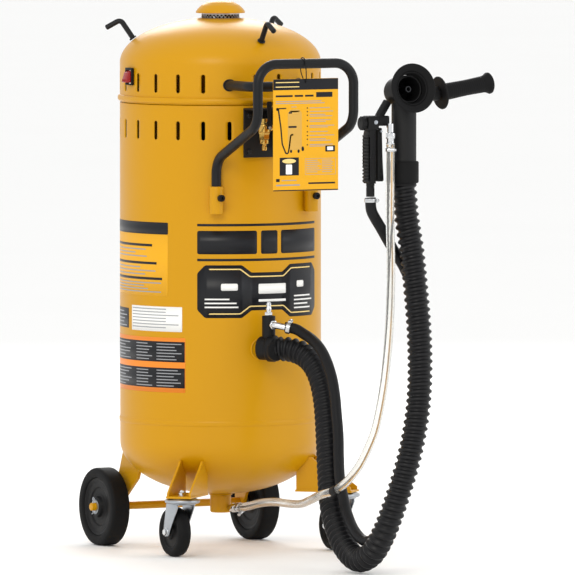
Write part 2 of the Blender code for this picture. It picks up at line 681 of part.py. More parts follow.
def build_controls():
    """The air set between the handle's legs: bracket, ball valve, filter regulator, gauge and air inlet."""
    bracket = box("control_bracket", (-58, -211.5, 800), (58, -207.5, 900), BLACK, bevel=0.8)
    shelf = box("control_shelf", (-58, -262, 896), (58, -208, 900), collection=CUTTERS)
    joined(bracket, shelf)
    body_x, body_y = 22.0, -250.0
    regulator = turned(
        "regulator_body",
        [(0, 895.6), (17.0, 895.6), (19.0, 893.0), (19.0, 868.0), (24.0, 866.0), (24.0, 851.0), (0, 851.0)],
        ZINC,
        origin=(body_x, body_y, 0),
        steps=14,
    )
    joined(regulator, rod("inlet_boss", (body_x, body_y, 862), (body_x - 34, body_y, 862), 9.0, sides=12,
                          collection=CUTTERS))
    bowl = [(23.0, 850.5), (21.0, 818.0), (13.0, 808.0), (0, 806.0), (0, 809.0), (12.0, 811.0), (19.0, 820.0),
            (20.5, 850.5)]
    turned("filter_bowl", bowl, PLASTIC, origin=(body_x, body_y, 0), steps=14)
    knob = [(0, 930.0), (13.0, 930.0), (15.5, 927.0), (15.5, 902.0), (0, 902.0)]
    turned("regulator_knob", knob, PLASTIC, origin=(body_x, body_y, 0), steps=14)
    gauge = [(0, 8.0), (17.0, 8.0), (20.0, 11.0), (21.0, 11.0), (21.0, -8.0), (5.5, -8.0), (5.5, -12.0),
             (0, -12.0)]
    turned("pressure_gauge", gauge, BLACK, origin=(body_x, body_y - 32.5, 880), axis=(0, -1, 0), steps=16)
    dial = frame_matrix((body_x, body_y - 32.5, 880), (0, -1, 0)) @ Matrix.Rotation(math.radians(135), 4, "Z")
    hand = [(-1.2, -5.0), (1.2, -5.0), (0.5, 13.0), (-0.5, 13.0)]
    needle = prism("gauge_needle", hand, 8.6, 9.4, RED, matrix=dial)
    joined(needle, rod("needle_boss", (body_x, body_y - 41.0, 880), (body_x, body_y - 42.4, 880), 2.2, sides=10,
                       collection=CUTTERS))
    valve_x = -32.0
    valve = rod("ball_valve", (valve_x, body_y, 880), (valve_x, body_y, 838), 13.0, BRASS, sides=12)
    joined(valve, rod("valve_arm", (valve_x, body_y, 862), (body_x - 35, body_y, 862), 8.0, sides=12,
                      collection=CUTTERS))
    joined(valve, rod("valve_stem", (valve_x, body_y, 862), (valve_x, body_y - 19, 862), 3.5, sides=10,
                      collection=CUTTERS))
    box("valve_lever", (valve_x - 6, body_y - 23, 858), (valve_x + 6, body_y - 19.6, 915), PLASTIC, bevel=0.8)
    plug = [(0, 22.0), (5.0, 22.0), (5.8, 20.0), (5.8, 14.0), (4.6, 12.0), (4.6, 8.0), (9.5, 8.0), (9.5, 0),
            (0, 0)]
    turned("air_inlet_plug", plug, BRASS, origin=(valve_x, body_y, 837.6), axis=(0, 0, -1), steps=12)


# Fittings and hoses -----------------------------------------------------------------------------------------


def build_inlet():
    """The fitting at the front of the tank: suction hose socket, block for the blast air, coupler and elbow."""
    start, way = hose_end(VACUUM_ROUTE)
    barrel = [(0, 38.0), (21.0, 38.0), (24.0, 34.0), (24.0, 18.0), (27.0, 16.0), (27.0, 0.4), (0, 0.4)]
    body = turned("inlet_fitting", barrel, BLACK, origin=start, axis=way, steps=24)
    back = start + way * 22
    joined(body, rod("inlet_spigot", (INLET_X, -196, INLET_Z), (INLET_X, back.y, INLET_Z), 20.0, sides=20,
                     collection=CUTTERS))
    block = rod("air_block", (AIR_X, AIR_Y, 425), (AIR_X, AIR_Y, 484), AIR_R, sides=20, collection=CUTTERS)
    joined(body, block)
    coupler = [(0, 512.0), (3.6, 512.0), (5.6, 507.0), (4.4, 503.0), (6.2, 498.0), (5.0, 494.0), (8.5, 491.0),
               (8.5, 484.4), (0, 484.4)]
    turned("air_coupler", coupler, CHROME, origin=(AIR_X, AIR_Y, 0), steps=12)
    start, way = hose_end(BLAST_ROUTE)
    end = start + way * 0.6
    corner = end - way * ((end.x - AIR_X) / way.x)
    path = bent([(AIR_X, AIR_Y - AIR_R - 0.6, corner.z), corner, end], 4.0, 3)
    elbow = made_mesh(tube("blast_elbow", path, 7.0, CHROME, 2))
    elbow.data.materials.clear()
    elbow.data.materials.append(CHROME)


def build_outlet():
    socket = [(21.5, 108.0), (21.5, 76.0), (19.0, 73.0), (0, 73.0), (0, 79.0), (15.5, 79.0), (15.5, 122.0),
              (17.0, 122.0), (17.0, 111.0)]
    made = turned("outlet_socket", socket, YELLOW, steps=16)
    trim = tank_envelope("outlet_trim")
    collar = rod("outlet_keep", (0, 0, 60), (0, 0, 140), 16.7, sides=16, collection=CUTTERS)
    cut(trim, collar)
    cut(made, trim)
    start, way = hose_end(MEDIA_ROUTE)
    cut(made, rod("outlet_bore", start, start + way * 48, 7.3, sides=12, collection=CUTTERS))
    barb = [(0, 30.0), (6.9, 30.0), (6.9, 14.0), (9.5, 13.0), (9.5, 3.0), (8.5, 0.4), (0, 0.4)]
    turned("outlet_fitting", barb, CHROME, origin=start, axis=way, steps=16)


def build_hoses():
    for name, route, radius, material in (
        ("suction_hose", VACUUM_ROUTE, VACUUM_R, RUBBER),
        ("blast_hose", BLAST_ROUTE, BLAST_R, RUBBER),
        ("media_hose", MEDIA_ROUTE, MEDIA_R, VINYL),
    ):
        tube(name, hose_path(route), radius, material, 2)


# Hand tool ----------------------------------------------------------------------------------------------------


def head_frame():
    """The tool head's centre and the way its cup faces."""
    tilt = math.radians(TOOL_TILT)
    return Vector((HEAD_X, TOOL_Y, TOOL_Z)), Vector((0, -math.cos(tilt), math.sin(tilt)))


def build_tool():
    centre, face = head_frame()
    shell = turned(
        "tool_head",
        [(0, 37.0), (28.0, 37.0), (28.0, -16.0), (25.0, -23.0), (17.0, -28.0), (0, -30.0)],
        BLACK,
        origin=centre,
        axis=face,
        steps=20,
    )
    joined(shell, rod("tool_pipe", (TOOL_X, TOOL_Y, 772), (TOOL_X, TOOL_Y, 950), TOOL_TUBE_R, sides=20,
                      collection=CUTTERS))
    neck_end = Vector((96.0, TOOL_Y, 946.0))
    joined(shell, rod("grip_neck", (TOOL_X + 10, TOOL_Y, 936), neck_end, 12.0, sides=16, collection=CUTTERS))
    inner = turned("head_hollow", [(0, 42.0), (24.0, 42.0), (24.0, -14.0), (14.0, -24.0), (0, -25.0)],
                   origin=centre, axis=face, steps=16, collection=CUTTERS)
    cut(shell, inner)
    cut(shell, rod("pipe_hollow", (TOOL_X, TOOL_Y, 770), (TOOL_X, TOOL_Y, 948), 22.0, sides=20,
                   collection=CUTTERS))
    cut(shell, rod("nozzle_hole", centre - face * 40, centre - face * 10, 7.5, sides=16, collection=CUTTERS))
    turned("blast_nozzle", [(4.0, 34.0), (6.5, 34.0), (7.2, 28.0), (7.2, -29.0), (9.5, -31.0), (9.5, -36.0),
                            (4.0, -36.0)],
           STEEL, origin=centre, axis=face, steps=12)
    cup = [(31.5, 38.0), (31.5, 24.5), (28.4, 24.5), (28.4, 38.5), (30.5, 42.0), (33.0, 48.0), (35.0, 51.0),
           (46.0, 57.0), (49.0, 55.5), (49.0, 52.5), (44.0, 46.0), (37.0, 41.0)]
    turned("suction_cup", cup, RUBBER, origin=centre, axis=face, steps=24)
    turned("cup_clamp", [(33.6, 35.5), (33.6, 27.5), (32.0, 27.5), (32.0, 35.5)], CHROME, origin=centre,
           axis=face, steps=24)
    cuff = [(28.0, 814.0), (29.5, 812.0), (29.5, 773.0), (27.5, 770.5), (25.1, 770.5), (25.1, 814.0)]
    turned("hose_cuff", cuff, RUBBER, origin=(TOOL_X, TOOL_Y, 0), steps=20)
    grip_axis = Vector((math.cos(math.radians(9)), 0, math.sin(math.radians(9))))
    grip = [(0, 118.0), (18.0, 118.0), (21.5, 114.0), (21.5, 110.0), (16.5, 104.0), (16.0, 20.0), (16.5, 8.0),
            (32.0, 5.0), (33.0, 2.5), (33.0, 0.5), (0, 0.5)]
    turned("side_grip", grip, RUBBER, origin=neck_end, axis=grip_axis, steps=16)
    cut(shell, rod("neck_trim", neck_end - grip_axis * 0.1, neck_end + grip_axis * 20, 40.0, sides=16,
                   collection=CUTTERS))


def build_gun():
    """The blast handle beside the tool's pipe: fixed ribbed grip, valve block, squeeze lever and valve knob."""
    back, front = TOOL_Y + 13, TOOL_Y - 13
    grip = box("blast_grip", (GUN_X - 11, front, 771), (GUN_X + 7.5, back, 880), PLASTIC, bevel=3.0)
    joined(grip, box("valve_block", (GUN_X - 10, front - 1, 872), (-18, back + 1, 905), bevel=2.0,
                     collection=CUTTERS))
    joined(grip, rod("gun_arm", (-44, TOOL_Y, 892), (TOOL_X - 24, TOOL_Y + 9, 934), 9.0, sides=14,
                     collection=CUTTERS))
    joined(grip, rod("gun_tail", (GUN_X + 1, TOOL_Y, 745), (GUN_X + 1, TOOL_Y, 771.9), 8.5, sides=14,
                     collection=CUTTERS))
    trim = rod("pipe_trim", (TOOL_X, TOOL_Y, 760), (TOOL_X, TOOL_Y, 990), TOOL_TUBE_R + 0.4, sides=24,
               collection=CUTTERS)
    centre, face = head_frame()
    head_trim = rod("head_trim", centre - face * 32, centre + face * 20, 28.4, sides=24, collection=CUTTERS)
    cup_trim = rod("cup_trim", centre + face * 22, centre + face * 60, 34.2, sides=24, collection=CUTTERS)
    cut(grip, trim, head_trim, cup_trim)
    slot = box("lever_slot", (-48.5, TOOL_Y - 9.5, 860), (-28, TOOL_Y + 9.5, 884), collection=CUTTERS)
    cut(grip, slot)
    outline = [(-45.5, 881), (-45.5, 778), (-43.5, 775), (-33.0, 775), (-31.0, 778), (-35.0, 881)]
    lever = prism("blast_lever", outline, -TOOL_Y - 9, -TOOL_Y + 9, PLASTIC, matrix=OUTLINE_IN_XZ)
    cut(lever, rod("lever_bore", (-40, TOOL_Y - 15, 874), (-40, TOOL_Y + 15, 874), 2.6, sides=12,
                   collection=CUTTERS))
    joined(grip, rod("lever_pin", (-40, front - 2.6, 874), (-40, back + 2.6, 874), 2.3, sides=12,
                     collection=CUTTERS))
    knob = [(0, 11.0), (11.5, 11.0), (14.5, 8.5), (14.5, 1.5), (12.0, 0.5), (0, 0.5)]
    turned("valve_knob", knob, PLASTIC, origin=(GUN_X - 11.2, TOOL_Y, 890), axis=(-1, 0, 0), steps=16)
    end = Vector(MEDIA_ROUTE[-1])
    collar = [(0, 42.0), (6.5, 42.0), (6.5, 24.0), (9.5, 23.0), (9.5, 12.0), (7.5, 11.0), (7.5, 4.0),
              (9.0, 3.0), (9.0, 0.4), (0, 0.4)]
    fitting = turned("media_fitting", collar, CHROME, origin=end, steps=16)
    joined(fitting, rod("media_arm", (end.x, end.y, 884), (end.x, front - 1.3, 884), 5.0, sides=12,
                        collection=CUTTERS))


# Hang tag -----------------------------------------------------------------------------------------------------


def build_tag():
    plane_y = HANDLE_BAR_Y - HANDLE_R - 2.6
    tag = box("hang_tag", (TAG_X - TAG_W / 2, plane_y - 0.5, TAG_BOTTOM_Z),
              (TAG_X + TAG_W / 2, plane_y + 0.5, TAG_TOP_Z), CARD)
    cut(tag, rod("tag_eye", (TAG_X, plane_y - 5, 956), (TAG_X, plane_y + 5, 956), 3.0, sides=12,
                 collection=CUTTERS))
    loop = []
    for angle in range(150, -31, -30):
        turn = math.radians(angle)
        loop.append((TAG_X, HANDLE_BAR_Y + 12.4 * math.cos(turn), HANDLE_TOP_Z + 12.4 * math.sin(turn)))
    loop += [(TAG_X, HANDLE_BAR_Y + 7.0, 975), (TAG_X, HANDLE_BAR_Y - 4.0, 960), (TAG_X, plane_y + 2.2, 956),
             (TAG_X, plane_y - 2.2, 956), (TAG_X, plane_y - 3.4, 962), (TAG_X, plane_y - 2.6, 978)]
    ring = tube("tag_tie", loop, 1.1, PLASTIC, 1)
    ring.data.splines[0].use_cyclic_u = True


def finish():
    for obj in PARTS.objects:
        if obj.type == "MESH" and not obj.modifiers:
            shaded(obj)


build_tank()
build_head()
build_hood()
build_hooks()
build_switch()
build_rear_axle()
build_casters()
build_handle()
build_guard()
build_controls()
build_inlet()
build_outlet()
build_hoses()
build_tool()
build_gun()
build_tag()
finish()
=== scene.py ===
"""The looks of a wheeled abrasive blast vacuum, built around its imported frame.

Lengths inside the functions are millimetres, in the frame's own axes: +Z up, the machine's front towards -Y.
They become metres when a mesh is made. An azimuth turns from the front, -Y, towards +X.
"""

import math

import bmesh
import bpy
from bpy.props import FloatProperty, FloatVectorProperty, IntProperty, PointerProperty
from mathutils import Matrix, Vector, noise


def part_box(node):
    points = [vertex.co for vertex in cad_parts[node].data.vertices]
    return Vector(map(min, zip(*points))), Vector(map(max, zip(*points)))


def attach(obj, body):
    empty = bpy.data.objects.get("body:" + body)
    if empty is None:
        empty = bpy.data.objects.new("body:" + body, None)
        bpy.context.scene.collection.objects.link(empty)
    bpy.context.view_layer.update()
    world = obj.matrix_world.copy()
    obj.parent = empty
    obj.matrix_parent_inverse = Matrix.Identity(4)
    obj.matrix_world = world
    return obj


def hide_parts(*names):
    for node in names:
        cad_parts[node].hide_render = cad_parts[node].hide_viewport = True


bl_info = {
    "name": "Blast Vacuum Looks",
    "version": (1, 0, 0),
    "blender": (4, 5, 0),
    "location": "View3D > Sidebar > Blast Vacuum",
    "description": "Builds the fine surface of a wheeled abrasive blast vacuum",
    "category": "Object",
}

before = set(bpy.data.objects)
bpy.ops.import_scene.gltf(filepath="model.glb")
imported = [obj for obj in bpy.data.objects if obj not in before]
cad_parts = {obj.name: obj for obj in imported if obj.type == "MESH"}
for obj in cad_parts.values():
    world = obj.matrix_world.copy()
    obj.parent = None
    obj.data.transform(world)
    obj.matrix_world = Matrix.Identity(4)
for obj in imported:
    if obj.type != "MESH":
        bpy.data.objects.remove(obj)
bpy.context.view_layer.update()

MM = 0.001
TURN = 2 * math.pi
SHARP_DEG = 38.0
CAMERA_PLACE = Vector((-11.61729, -22.13723, 1.950))
CAMERA_AIM = Vector((0.11950, -0.06354, 0.528))
CAMERA_LENS = 776.1
LIGHT_AIM = (0.0, -0.2, 0.6)
FLOOR_R = 40.0
SIDES = ((-1, "left"), (1, "right"))
UPRIGHT_X = Matrix(((0, 0, 1, 0), (1, 0, 0, 0), (0, 1, 0, 0), (0, 0, 0, 1)))
UPRIGHT_Y = Matrix(((1, 0, 0, 0), (0, 0, -1, 0), (0, 1, 0, 0), (0, 0, 0, 1)))


def node_box(name):
    """A frame node's lowest and highest corners in millimetres."""
    low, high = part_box(name)
    return low / MM, high / MM


TANK_LOW, TANK_HIGH = node_box("tank_shell")
TANK_R = 203.0
TANK_TOP_Z = TANK_HIGH.z
DOME_H = 110.0
TANGENT_Z = TANK_LOW.z + DOME_H
SEAM_Z = 265.0
HOOD_LOW, HOOD_HIGH = node_box("hood")
HOOD_TANGENT_Z = 983.0
HOOD_DOME_H = 92.0
NECK_R = 38.5
WALL = 2.0
COLUMNS = 192
SLOT_CELLS = 24
HANDLE_X = 108.0
HANDLE_Y = -188.0
HANDLE_BAR_Y = -366.0
HANDLE_TOP_Z = 993.0
AXLE_Y = 180.0
REAR_R = 79.0
CASTER_XY = 182.0
CASTER_TRAIL = 32.0
CASTER_R = 50.0
PLATE_Z = 120.0
TOOL_X = 18.0
TOOL_Y = -742.0
HEAD = Vector((TOOL_X - 8.0, TOOL_Y, 952.0))
TOOL_TILT = math.radians(8)
CUP_WAY = Vector((0, -math.cos(TOOL_TILT), math.sin(TOOL_TILT)))
GUN_X = -58.0
INLET_X, INLET_Z = -14, 415
AIR_X, AIR_Y = -16.0, -238.0
CONTROL_Y = -250.0
REGULATOR_X = 22.0
VALVE_X = -32.0
TAG_X = -7.0
TAG_W = 147.0
TAG_LOW, TAG_HIGH = node_box("hang_tag")

VACUUM_ROUTE = (
    (-0.006, -0.252, 0.418), (0.013, -0.275, 0.417), (0.028, -0.302, 0.409), (0.036, -0.332, 0.391),
    (0.036, -0.364, 0.360), (0.028, -0.398, 0.316), (0.010, -0.441, 0.254), (-0.012, -0.488, 0.188),
    (-0.032, -0.534, 0.130), (-0.046, -0.584, 0.082), (-0.054, -0.638, 0.044), (-0.056, -0.692, 0.027),
    (-0.053, -0.742, 0.042), (-0.046, -0.776, 0.082), (-0.036, -0.796, 0.130), (-0.024, -0.806, 0.176),
    (-0.010, -0.812, 0.228), (0.004, -0.812, 0.284), (0.016, -0.807, 0.344), (0.024, -0.798, 0.412),
    (0.028, -0.786, 0.486), (0.028, -0.773, 0.562), (0.026, -0.760, 0.638), (0.021, -0.748, 0.704),
    (0.018, -0.742, 0.768),
)
BLAST_ROUTE = (
    (0.001, -0.278, 0.462), (0.010, -0.281, 0.461), (0.019, -0.291, 0.458), (0.026, -0.308, 0.450),
    (0.029, -0.338, 0.440), (0.030, -0.370, 0.424), (0.030, -0.398, 0.400), (0.028, -0.424, 0.368),
    (0.023, -0.446, 0.334), (0.016, -0.466, 0.298), (0.008, -0.488, 0.258), (-0.004, -0.512, 0.218),
    (-0.018, -0.542, 0.180), (-0.028, -0.574, 0.145), (-0.037, -0.610, 0.110), (-0.043, -0.652, 0.080),
    (-0.042, -0.694, 0.063), (-0.034, -0.728, 0.074), (-0.022, -0.750, 0.104), (-0.008, -0.768, 0.144),
    (0.006, -0.780, 0.186), (0.018, -0.782, 0.232), (0.028, -0.778, 0.286), (0.038, -0.772, 0.346),
    (0.044, -0.762, 0.412), (0.046, -0.751, 0.486), (0.042, -0.738, 0.556), (0.028, -0.726, 0.602),
    (0.006, -0.724, 0.636), (-0.015, -0.730, 0.664), (-0.032, -0.736, 0.686), (-0.046, -0.740, 0.704),
    (-0.055, -0.742, 0.720), (-0.057, -0.742, 0.7435),
)
MEDIA_ROUTE = (
    (0.014, -0.044, 0.085), (0.018, -0.080, 0.089), (0.018, -0.140, 0.100), (0.012, -0.210, 0.107),
    (-0.002, -0.300, 0.110), (-0.030, -0.400, 0.117), (-0.062, -0.500, 0.132), (-0.082, -0.580, 0.148),
    (-0.078, -0.636, 0.161), (-0.073, -0.680, 0.184), (-0.064, -0.710, 0.214), (-0.057, -0.730, 0.246),
    (-0.051, -0.750, 0.284), (-0.047, -0.766, 0.335), (-0.043, -0.777, 0.392), (-0.038, -0.783, 0.470),
    (-0.034, -0.783, 0.545), (-0.030, -0.777, 0.625), (-0.028, -0.770, 0.700), (-0.025, -0.765, 0.780),
    (-0.024, -0.764, 0.848),
)


# Colours and materials --------------------------------------------------------------------------------------


def linear(hex_colour):
    """An sRGB hex colour as linear red, green and blue."""
    channels = []
    for start in (1, 3, 5):
        value = int(hex_colour[start:start + 2], 16) / 255
        channels.append(value / 12.92 if value <= 0.04045 else ((value + 0.055) / 1.055) ** 2.4)
    return tuple(channels)


def colour_property(name, description, hex_colour):
    return FloatVectorProperty(
        name=name, description=description, subtype="COLOR", size=3, min=0.0, max=1.0,
        default=linear(hex_colour)
    )


def length_property(name, description, default_mm):
    return FloatProperty(name=name, description=description, unit="LENGTH", default=default_mm * MM, min=0.0)


class BLASTVAC_PG_colours(bpy.types.PropertyGroup):
    """The colours that a user would change."""

    coat: colour_property("Tank coat", "Powder coat of the tank, hood and brackets", "#C89002")
    black_coat: colour_property("Black coat", "Powder coat of the handle, guard bar and hooks", "#131416")
    plastic: colour_property("Black plastic", "Moulded fittings, grips and knobs", "#0E0E0F")
    rubber: colour_property("Rubber", "Tyres, cup, cuff and grip", "#0D0D0E")
    hose: colour_property("Hoses", "Corrugated and smooth black hoses", "#0F0F11")
    vinyl: colour_property("Clear hose", "Tint of the clear media hose", "#FEFDFA")
    red: colour_property("Red plastic", "Rocker and needle", "#94100E")
    card: colour_property("Tag and labels", "Ground of the hang tag and the yellow label", "#E6A81C")
    ink: colour_property("Dark ink", "Printed panels", "#17181C")
    cream: colour_property("Pinstripe", "Inset line of the front panel", "#F2D488")
    orange: colour_property("Orange ink", "Bars of the side label", "#F08A2A")
    zinc: colour_property("Zinc", "Plated forks, bolts and deck", "#A9AEB4")
    brass: colour_property("Brass", "Air fittings", "#C9A254")
    floor: colour_property("Floor", "Studio floor", "#FAFAF9")


class BLASTVAC_PG_sizes(bpy.types.PropertyGroup):
    """The sizes that a user would change."""

    rib_pitch: length_property("Hose rib pitch", "Distance between the ribs of the suction hose", 14.5)
    rib_depth: length_property("Hose rib depth", "Height of a rib over the valley beside it", 4.6)
    coat_grain: length_property("Coat grain", "Size of the powder coat's orange peel", 2.4)
    weld_width: length_property("Weld width", "Width of the weld beads", 5.0)
    grip_ribs: IntProperty(name="Grip ribs", description="Ribs on the blast handle", default=14, min=4, max=30)


def add_node(tree, kind, settings=None, **links):
    """Adds a node, sets its properties, and sets or links its inputs by name."""
    made = tree.nodes.new(kind)
    for key, value in (settings or {}).items():
        setattr(made, key, value)
    for key, value in links.items():
        socket = made.inputs[int(key[1:])] if key[1:].isdigit() else made.inputs[key.replace("_", " ")]
        if isinstance(value, bpy.types.NodeSocket):
            tree.links.new(value, socket)
        else:
            socket.default_value = value
    return made


def grained(name, colour, roughness, metallic=0.0, grain=1.0, depth=0.02, mottle=0.06, patch=60.0, spread=0.08,
            squash=(1, 1, 1), edge=0.0, shine=0.5):
    """A finish with a fine bump of the given grain and depth, soft colour patches, and roughness that varies.
    Lengths are millimetres. Edge is the weight of a painted highlight that lightens the colour on convex edges
    and corners, and shine is the strength of reflections."""
    made = bpy.data.materials.new(name)
    made.use_nodes = True
    tree = made.node_tree
    shader = tree.nodes["Principled BSDF"]
    shader.inputs["Metallic"].default_value = metallic
    shader.inputs["Specular IOR Level"].default_value = shine
    place = add_node(tree, "ShaderNodeTexCoord")
    stretch = add_node(tree, "ShaderNodeMapping", Vector=place.outputs["Object"], Scale=squash)
    fine = add_node(tree, "ShaderNodeTexNoise", Vector=stretch.outputs[0], Scale=1 / (grain * MM), Detail=2.0)
    soft = add_node(tree, "ShaderNodeTexNoise", Vector=stretch.outputs[0], Scale=1 / (patch * MM), Detail=3.0)
    darker = tuple(c * (1 - mottle) for c in colour)
    lighter = tuple(min(1.0, c * (1 + mottle)) for c in colour)
    tone = add_node(tree, "ShaderNodeMix", {"data_type": "RGBA"}, i0=soft.outputs["Fac"], i6=(*darker, 1),
                    i7=(*lighter, 1))
    tint = tone.outputs[2]
    # Painted highlight: convex edges, found by pointiness, get a lighter copy of the colour.
    if edge:
        shape = add_node(tree, "ShaderNodeNewGeometry")
        edge_highlight_mask = add_node(tree, "ShaderNodeMapRange", Value=shape.outputs["Pointiness"], From_Min=0.52,
                        From_Max=0.62, To_Min=0.0, To_Max=edge)
        highlight_colour = tuple(min(1.0, c * 1.8 + 0.05) for c in colour)
        tint = add_node(tree, "ShaderNodeMix", {"data_type": "RGBA"}, i0=edge_highlight_mask.outputs[0], i6=tint,
                        i7=(*highlight_colour, 1)).outputs[2]
    tree.links.new(tint, shader.inputs["Base Color"])
    gloss = add_node(tree, "ShaderNodeMapRange", Value=soft.outputs["Fac"],
                     To_Min=max(0.03, roughness - spread), To_Max=min(1.0, roughness + spread))
    tree.links.new(gloss.outputs[0], shader.inputs["Roughness"])
    relief = add_node(tree, "ShaderNodeBump", Height=fine.outputs["Fac"], Distance=depth * MM, Strength=1.0)
    tree.links.new(relief.outputs[0], shader.inputs["Normal"])
    return made


def shader_of(material):
    return material.node_tree.nodes["Principled BSDF"]


def make_materials(colours, sizes):
    """Every finish, by a short key."""
    # Each finish's edge weight paints a highlight on its convex edges.
    made = {}
    # Polyester powder coat, sprayed and baked: an even satin gloss broken by shallow orange peel.
    coat = grained("polyester_powder_coat_yellow", colours.coat, 0.36, grain=sizes.coat_grain / MM, depth=0.03,
                   mottle=0.02, patch=180, spread=0.04, edge=0.05, shine=0.2)
    shader_of(coat).inputs["Coat Weight"].default_value = 0.08
    shader_of(coat).inputs["Coat Roughness"].default_value = 0.25
    made["coat"] = coat
    # Fine-texture powder coat: tiny sand-like bumps that spread the highlight along a tube.
    made["black_coat"] = grained("texture_powder_coat_black", colours.black_coat, 0.42, grain=1.1, depth=0.05,
                                 mottle=0.08, patch=40, edge=0.12, shine=0.22)
    # Glass-filled nylon, injection moulded in a spark-eroded mould: even matt grain with dull highlights.
    made["plastic"] = grained("moulded_glass_filled_nylon", colours.plastic, 0.5, grain=0.9, depth=0.05,
                              mottle=0.1, patch=30, edge=0.1, shine=0.2)
    # Vulcanised rubber: deep matt black with dusty patches.
    made["rubber"] = grained("vulcanised_rubber", colours.rubber, 0.66, grain=1.6, depth=0.05, mottle=0.16,
                             patch=24, spread=0.1, edge=0.1, shine=0.16)
    # Blow-moulded thermoplastic hose: satin black, with a painted highlight that lightens the ribs' crests.
    made["hose"] = grained("corrugated_polyurethane_hose", colours.hose, 0.4, grain=1.4, depth=0.03,
                           mottle=0.12, patch=35, spread=0.07, edge=0.2, shine=0.22)
    # Wrapped rubber air hose: the cloth it was cured in leaves a fine cross weave.
    made["air_hose"] = grained("cloth_wrapped_air_hose", colours.hose, 0.48, grain=0.9, depth=0.08, mottle=0.1,
                               patch=20, edge=0.08, shine=0.2)
    # Turned and blackened screws and inserts: dark oxide with a low sheen.
    made["black_steel"] = grained("black_oxide_steel", linear("#1B1B1D"), 0.38, 0.8, grain=0.8, depth=0.02)
    # Zinc electroplate with clear passivate: cool grey, with streaks of spread gloss.
    made["zinc"] = grained("zinc_plated_steel", colours.zinc, 0.32, 1.0, grain=1.3, depth=0.02, mottle=0.1,
                           patch=14, spread=0.1, squash=(1, 1, 4))
    # Chrome plate: near-mirror, with only the softest variation.
    made["chrome"] = grained("chrome_plated_steel", linear("#D8DADC"), 0.1, 1.0, grain=4, depth=0.01,
                             mottle=0.03, patch=30, spread=0.04)
    # Turned brass: warm metal with faint rings and handling marks.
    made["brass"] = grained("turned_brass", colours.brass, 0.24, 1.0, grain=1.0, depth=0.015, mottle=0.12,
                            patch=9, spread=0.1, squash=(1, 1, 6))
    # Stainless strip of a worm-drive clamp: rolled grain along the band.
    made["stainless"] = grained("rolled_stainless_strip", linear("#C6C8CA"), 0.22, 1.0, grain=1.2, depth=0.015,
                                mottle=0.06, patch=12, squash=(3, 3, 1))
    # ABS, moulded and polished: saturated gloss.
    made["red"] = grained("polished_abs_red", colours.red, 0.24, grain=2.0, depth=0.01, mottle=0.06, patch=10)
    # Coated carton: flat, with faint fibre clouds under a thin lacquer.
    card = grained("coated_card_yellow", colours.card, 0.42, grain=0.7, depth=0.015, mottle=0.03, patch=16,
                   shine=0.2)
    shader_of(card).inputs["Coat Weight"].default_value = 0.08
    made["card"] = card
    # Screen-printed vinyl film in its several inks: thin, even and slightly glossier than the coat.
    for key, tint in (
        ("ink", colours.ink), ("cream", colours.cream), ("orange", colours.orange),
        ("white", linear("#F1F1EE")), ("grey", linear("#9A9CA0")), ("tan", linear("#D2A44C")),
    ):
        made[key] = grained(f"printed_film_{key}", tint, 0.34, grain=1.5, depth=0.008, mottle=0.03, patch=40,
                            shine=0.25)
    # Sintered tungsten carbide of the nozzle: dark and close-grained, with a dusty bloom.
    made["carbide"] = grained("sintered_tungsten_carbide", linear("#3A3B3D"), 0.45, 1.0, grain=0.6, depth=0.02,
                              mottle=0.15, patch=6)
    # White enamel of the gauge dial.
    made["enamel"] = grained("dial_enamel", linear("#EFEFEA"), 0.3, grain=1.5, depth=0.005, mottle=0.02,
                             patch=8)
    # Resin-treated paper, folded in pleats: fibrous and matt.
    made["paper"] = grained("pleated_filter_paper", linear("#D9D2BC"), 0.92, grain=0.8, depth=0.1, mottle=0.08,
                            patch=12)
    # Cast aluminium of the regulator and the motor's rotor: grey and grainy.
    made["cast"] = grained("cast_aluminium", linear("#8F9296"), 0.5, 1.0, grain=1.2, depth=0.08, mottle=0.1)
    # Woven wire behind the vent: dull bare steel.
    made["wire"] = grained("woven_steel_wire", linear("#C9CCCE"), 0.3, 1.0, grain=0.8, depth=0.02, mottle=0.1)
    # Plasticised PVC, extruded: clear with a warm tint, its wall bright at the edges.
    vinyl = grained("clear_plasticised_pvc", colours.vinyl, 0.12, grain=5, depth=0.02, mottle=0.02, patch=50,
                    spread=0.03)
    shader_of(vinyl).inputs["Transmission Weight"].default_value = 0.95
    shader_of(vinyl).inputs["IOR"].default_value = 1.42
    made["vinyl"] = vinyl
    # Polycarbonate filter bowl: smoky clear and glossy.
    clear = grained("clear_polycarbonate", linear("#E6ECEC"), 0.06, grain=5, depth=0.005, mottle=0.01,
                    patch=50, spread=0.02)
    shader_of(clear).inputs["Transmission Weight"].default_value = 0.92
    shader_of(clear).inputs["IOR"].default_value = 1.58
    made["polycarbonate"] = clear
    return made


MATERIALS = {}


# Shapes -----------------------------------------------------------------------------------------------------


def piece(name, bm, material, body, stands_for=(), sharp=SHARP_DEG):
    """Turns a bmesh in millimetres into a shaded piece that rides on a body and stands for frame nodes."""
    bmesh.ops.recalc_face_normals(bm, faces=bm.faces[:])
    bm.transform(Matrix.Scale(MM, 4))
    mesh = bpy.data.meshes.new(name)
    bm.to_mesh(mesh)
    bm.free()
    mesh.materials.append(MATERIALS[material])
    mesh.shade_smooth()
    mesh.set_sharp_from_angle(angle=math.radians(sharp))
    made = bpy.data.objects.new(name, mesh)
    bpy.context.scene.collection.objects.link(made)
    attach(made, body)
    if stands_for:
        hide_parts(*stands_for)
    return made


def keep_nodes(material, *names):
    """Gives frame nodes that stay in view their finish."""
    for name in names:
        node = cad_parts[name]
        node.data.materials.clear()
        node.data.materials.append(MATERIALS[material])
        node.data.shade_smooth()
        node.data.set_sharp_from_angle(angle=math.radians(SHARP_DEG))


def frame_matrix(origin, axis=(0, 0, 1)):
    """A matrix that takes local +Z to the axis and the local origin to the given point."""
    turn = Vector((0, 0, 1)).rotation_difference(Vector(axis).normalized())
    return Matrix.Translation(Vector(origin)) @ turn.to_matrix().to_4x4()


